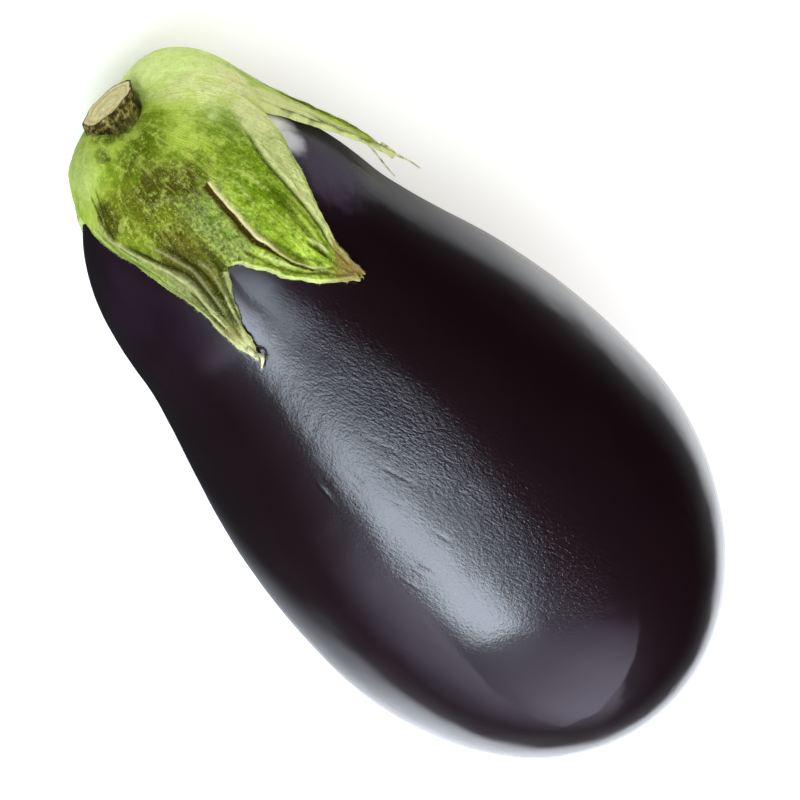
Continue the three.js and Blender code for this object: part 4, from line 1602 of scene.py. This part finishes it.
class FruitProperties(bpy.types.PropertyGroup):
    """The fruit's sizes and colours"""

    length: length("Length", "From the shoulder's top to the blossom end", LENGTH)
    belly_along: length("Belly along", "Where the fruit is widest, from the shoulder's top", BELLY[0])
    belly_radius: length("Belly radius", "Radius where the fruit is widest", BELLY[1])
    neck_along: length("Neck along", "Where the neck's radius is given, from the shoulder's top", NECK[0])
    neck_radius: length("Neck radius", "Radius at the neck", NECK[1])
    neck_slope: angle("Neck slope", "How the neck widens", NECK_SLOPE)
    shoulder_flatness: length("Shoulder flatness", "How broad the shoulder is", SHOULDER_FLATNESS)
    blossom_end_flatness: length("Blossom end flatness", "How blunt the far end is", BLOSSOM_END_FLATNESS)
    unevenness: length("Unevenness", "Depth of the broad hollows in the skin", 0.3)
    dent_depth: length("Dent depth", "Depth of the small dents and creases", 0.2)
    rings: IntProperty(name="Rings", description="Rings of the mesh from end to end", default=320)
    sides: IntProperty(name="Sides", description="Faces round the fruit", default=290)
    skin_colour: paint("Skin", "Purple-black of most of the skin", (0.0062, 0.0021, 0.0032))
    skin_shade: paint("Skin shade", "Darker clouds in the skin", (0.004, 0.0018, 0.0028))
    violet_tinge: paint("Violet tinge", "Skin near the calyx", (0.022, 0.009, 0.022))
    # Painted near white: partly pale young skin, partly a painted glare.
    young_skin_and_glare: paint("Young skin", "Pale skin uncovered beside the calyx", (0.88, 0.87, 0.92))
    # Partly bloom, partly a painted greyish sheen.
    bloom_and_sheen: paint("Bloom", "Dull greyish skin between two lobes", (0.10, 0.085, 0.13))
    scar_colour: paint("Blossom scar", "Corky scar at the blossom end", (0.085, 0.05, 0.022))


class CalyxProperties(bpy.types.PropertyGroup):
    """The calyx's relief, hairs and colours"""

    vein_height: length("Vein height", "Relief of the long veins", 0.16)
    vein_spacing: length("Vein spacing", "Distance between veins", 1.1)
    grain_height: length("Grain height", "Relief of the grain", 0.1)
    down_spacing: length("Down spacing", "Distance between hairs near the margins", 0.55)
    down_length: length("Down length", "Length of the hairs", 0.5)
    down_thickness: length("Down thickness", "Thickness of a hair at its foot", 0.07)
    leaf_green: paint("Leaf green", "Main green", (0.17, 0.275, 0.010))
    yellow_green: paint("Yellow green", "Lighter green clouds", (0.44, 0.58, 0.065))
    deep_green: paint("Deep green", "Saturated green of the largest lobe", (0.125, 0.225, 0.002))
    olive_green: paint("Olive green", "Smooth patches round the stem", (0.15, 0.23, 0.001))
    mound_green: paint("Mound green", "Warm green of the swelling over the second lobe", (0.19, 0.225, 0.010))
    grey_green: paint("Grey green", "Dull green beside the fold", (0.20, 0.27, 0.075))
    # On the shoulder this pale green is partly a painted highlight.
    pale_green_and_highlight: paint("Pale green", "Pale flesh on the shoulder and the under side", (0.74, 0.88, 0.33))
    # Partly a painted highlight on the collar.
    left_green_and_highlight: paint("Left green", "Whitish green of the collar", (0.40, 0.50, 0.15))
    band_green: paint("Band green", "Pale bands along the margins", (0.68, 0.73, 0.31))
    olive_brown: paint("Olive brown", "Weathered patches", (0.06, 0.046, 0.004))
    # Also painted shade in the creases and at the stem's foot.
    groove_brown_and_shade: paint("Groove brown", "Dark grooves and pores", (0.028, 0.032, 0.001))
    vein_green: paint("Vein green", "Light stipple and veins", (0.55, 0.66, 0.12))
    margin_cream: paint("Margin cream", "Pale margins and ridges", (0.82, 0.82, 0.42))
    lip_cream: paint("Lip cream", "Pale lip of the fold", (0.80, 0.68, 0.36))
    fold_brown: paint("Fold brown", "Shadowed groove of the fold", (0.04, 0.022, 0.001))
    dry_tip: paint("Dry tip", "Dried points of the lobes", (0.22, 0.12, 0.04))
    down_green: paint("Down green", "Soft hairs", (0.36, 0.42, 0.10))
    thread_grey: paint("Thread grey", "Dry threads at the tips", (0.20, 0.20, 0.13))


class StemProperties(bpy.types.PropertyGroup):
    """The stem's sizes and colours"""

    foot_radius: length("Foot radius", "Radius where the stem meets the fruit", 6.6)
    waist_radius: length("Waist radius", "Radius half way up", 6.3)
    cut_radius: length("Cut radius", "Radius at the cut", 6.7)
    bark_dark: paint("Dark bark", "Dark fibres of the side", (0.035, 0.020, 0.003))
    bark_light: paint("Light bark", "Light fibres of the side", (0.30, 0.26, 0.06))
    bark_green: paint("Green bark", "Greenish foot of the side", (0.20, 0.26, 0.02))
    cut_tan: paint("Cut tan", "Cut face", (0.55, 0.48, 0.20))
    cut_pale: paint("Cut pale", "Lighter grain of the cut face", (0.72, 0.66, 0.36))
    cut_ring: paint("Cut ring", "Darker rings of the cut face", (0.34, 0.25, 0.08))


class StageProperties(bpy.types.PropertyGroup):
    """The floor's colour and the lights' brightness"""

    floor_colour: paint("Floor", "Pale plain floor", (0.86, 0.86, 0.86))
    key_level: brightness("Key light", "Brightness of the two softboxes that make the highlight")
    side_level: brightness("Side light", "Brightness of the dimmer softboxes")
    fill_level: brightness("Fill light", "Brightness of the soft fills")


def dress(piece, slot, *nodes):
    """Puts a piece on the body and hides the nodes that it stands for; its slot is not used."""
    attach(piece, BODY)
    if nodes:
        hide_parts(*nodes)


class EGGPLANT_OT_fruit(bpy.types.Operator):
    """Build the fruit with its glossy skin"""

    bl_idname = "eggplant.fruit"
    bl_label = "Fruit"

    def execute(self, context):
        size = context.scene.eggplant_fruit
        blank = bpy.data.meshes.new("fruit_blank")
        fruit = fruit_rule(size, skin_material(size)).make("eggplant_fruit", blank)
        dress(fruit, "skin", "fruit")
        return {"FINISHED"}


class EGGPLANT_OT_calyx(bpy.types.Operator):
    """Build the calyx with its down and dry threads"""

    bl_idname = "eggplant.calyx"
    bl_label = "Calyx"

    def execute(self, context):
        size = context.scene.eggplant_calyx
        blank = calyx_mesh()
        calyx = calyx_rule(size, calyx_material(size)).make("eggplant_calyx", blank)
        dress(calyx, "calyx", "calyx")
        down = down_rule(size, plain_hair_material(size)).make("calyx_down", blank)
        dress(down, "calyx")
        threads = piece_of("calyx_threads", thread_mesh(), thread_material(size))
        dress(threads, "calyx")
        return {"FINISHED"}


class EGGPLANT_OT_stem(bpy.types.Operator):
    """Build the cut stem"""

    bl_idname = "eggplant.stem"
    bl_label = "Stem"

    def execute(self, context):
        size = context.scene.eggplant_stem
        stem = piece_of("eggplant_stem", stem_mesh(size), stem_material(size))
        dress(stem, "stem", "stem")
        return {"FINISHED"}


class EGGPLANT_OT_stage(bpy.types.Operator):
    """Add the floor, the lights and the camera"""

    bl_idname = "eggplant.stage"
    bl_label = "Stage"

    def execute(self, context):
        stage = context.scene.eggplant_stage
        floor_mesh = card("floor", FLOOR_HALF, FLOOR_HALF)
        piece_of("floor", floor_mesh, floor_material(tuple(stage.floor_colour)))
        key, side, fill = stage.key_level, stage.side_level, stage.fill_level
        add_softbox(
            "Key",
            seen_from=(-68, 24, 65),
            direction=(-90, 53),
            distance=0.457,
            size=(0.56, 0.33),
            light=(11.2 * key, STEEL),
            edges=(0.32, 0.08, 0.3, 0.4),
            dim=0.62,
        )
        add_softbox(
            "Key above",
            seen_from=(-125, 200, 205),
            direction=(-90, 53),
            distance=0.457,
            size=(0.60, 0.44),
            light=(5.0 * key, STEEL),
            edges=(0.40, 0.62, 0.3, 0.6),
        )
        add_softbox(
            "Side",
            seen_from=(0, -35, 50),
            direction=(-50, 27),
            distance=0.8,
            size=(1.55, 0.95),
            light=(2.0 * side, MAUVE),
            edges=(0.3, 0.08, 0.75, 0.12),
        )
        add_softbox(
            "End",
            seen_from=(55, -15, 60),
            direction=(-34, 43),
            distance=0.7,
            size=(0.90, 1.16),
            light=(1.7 * side, MAUVE),
            edges=(0.8, 0.015, 0.35, 0.5),
            lean=35,
        )
        add_fill("Fill", (0, 0, 0), (90, 80), 2.4, (3.0, 3.0), 2.2 * fill)
        add_fill("Front fill", (-60, 0, 40), (172, 38), 2.0, (2.0, 1.6), 1.6 * fill)
        add_world(dark=0.004, pale=0.9)
        context.scene.view_settings.view_transform = "Standard"
        add_camera()
        return {"FINISHED"}


class EGGPLANT_PT_panel(bpy.types.Panel):
    """Lists the pieces and their sizes and colours"""

    bl_idname = "EGGPLANT_PT_panel"
    bl_label = "Eggplant"
    bl_space_type = "VIEW_3D"
    bl_region_type = "UI"
    bl_category = "Eggplant"

    def draw(self, context):
        for operator, group in PIECES:
            box = self.layout.box()
            box.operator(operator.bl_idname)
            values = getattr(context.scene, group)
            for name in values.__annotations__:
                box.prop(values, name)


PIECES = [
    (EGGPLANT_OT_fruit, "eggplant_fruit"),
    (EGGPLANT_OT_calyx, "eggplant_calyx"),
    (EGGPLANT_OT_stem, "eggplant_stem"),
    (EGGPLANT_OT_stage, "eggplant_stage"),
]
GROUPS = {
    "eggplant_fruit": FruitProperties,
    "eggplant_calyx": CalyxProperties,
    "eggplant_stem": StemProperties,
    "eggplant_stage": StageProperties,
}
CLASSES = [*GROUPS.values(), *(operator for operator, _ in PIECES), EGGPLANT_PT_panel]


def register():
    """Registers the classes and hangs their sizes and colours on the scene."""
    for entry in CLASSES:
        bpy.utils.register_class(entry)
    for name, group in GROUPS.items():
        setattr(bpy.types.Scene, name, PointerProperty(type=group))


def unregister():
    for name in GROUPS:
        delattr(bpy.types.Scene, name)
    for entry in reversed(CLASSES):
        bpy.utils.unregister_class(entry)


def main():
    """Builds every piece and the stage."""
    register()
    bpy.ops.eggplant.fruit()
    bpy.ops.eggplant.calyx()
    bpy.ops.eggplant.stem()
    bpy.ops.eggplant.stage()


if __name__ == "__main__":
    main()
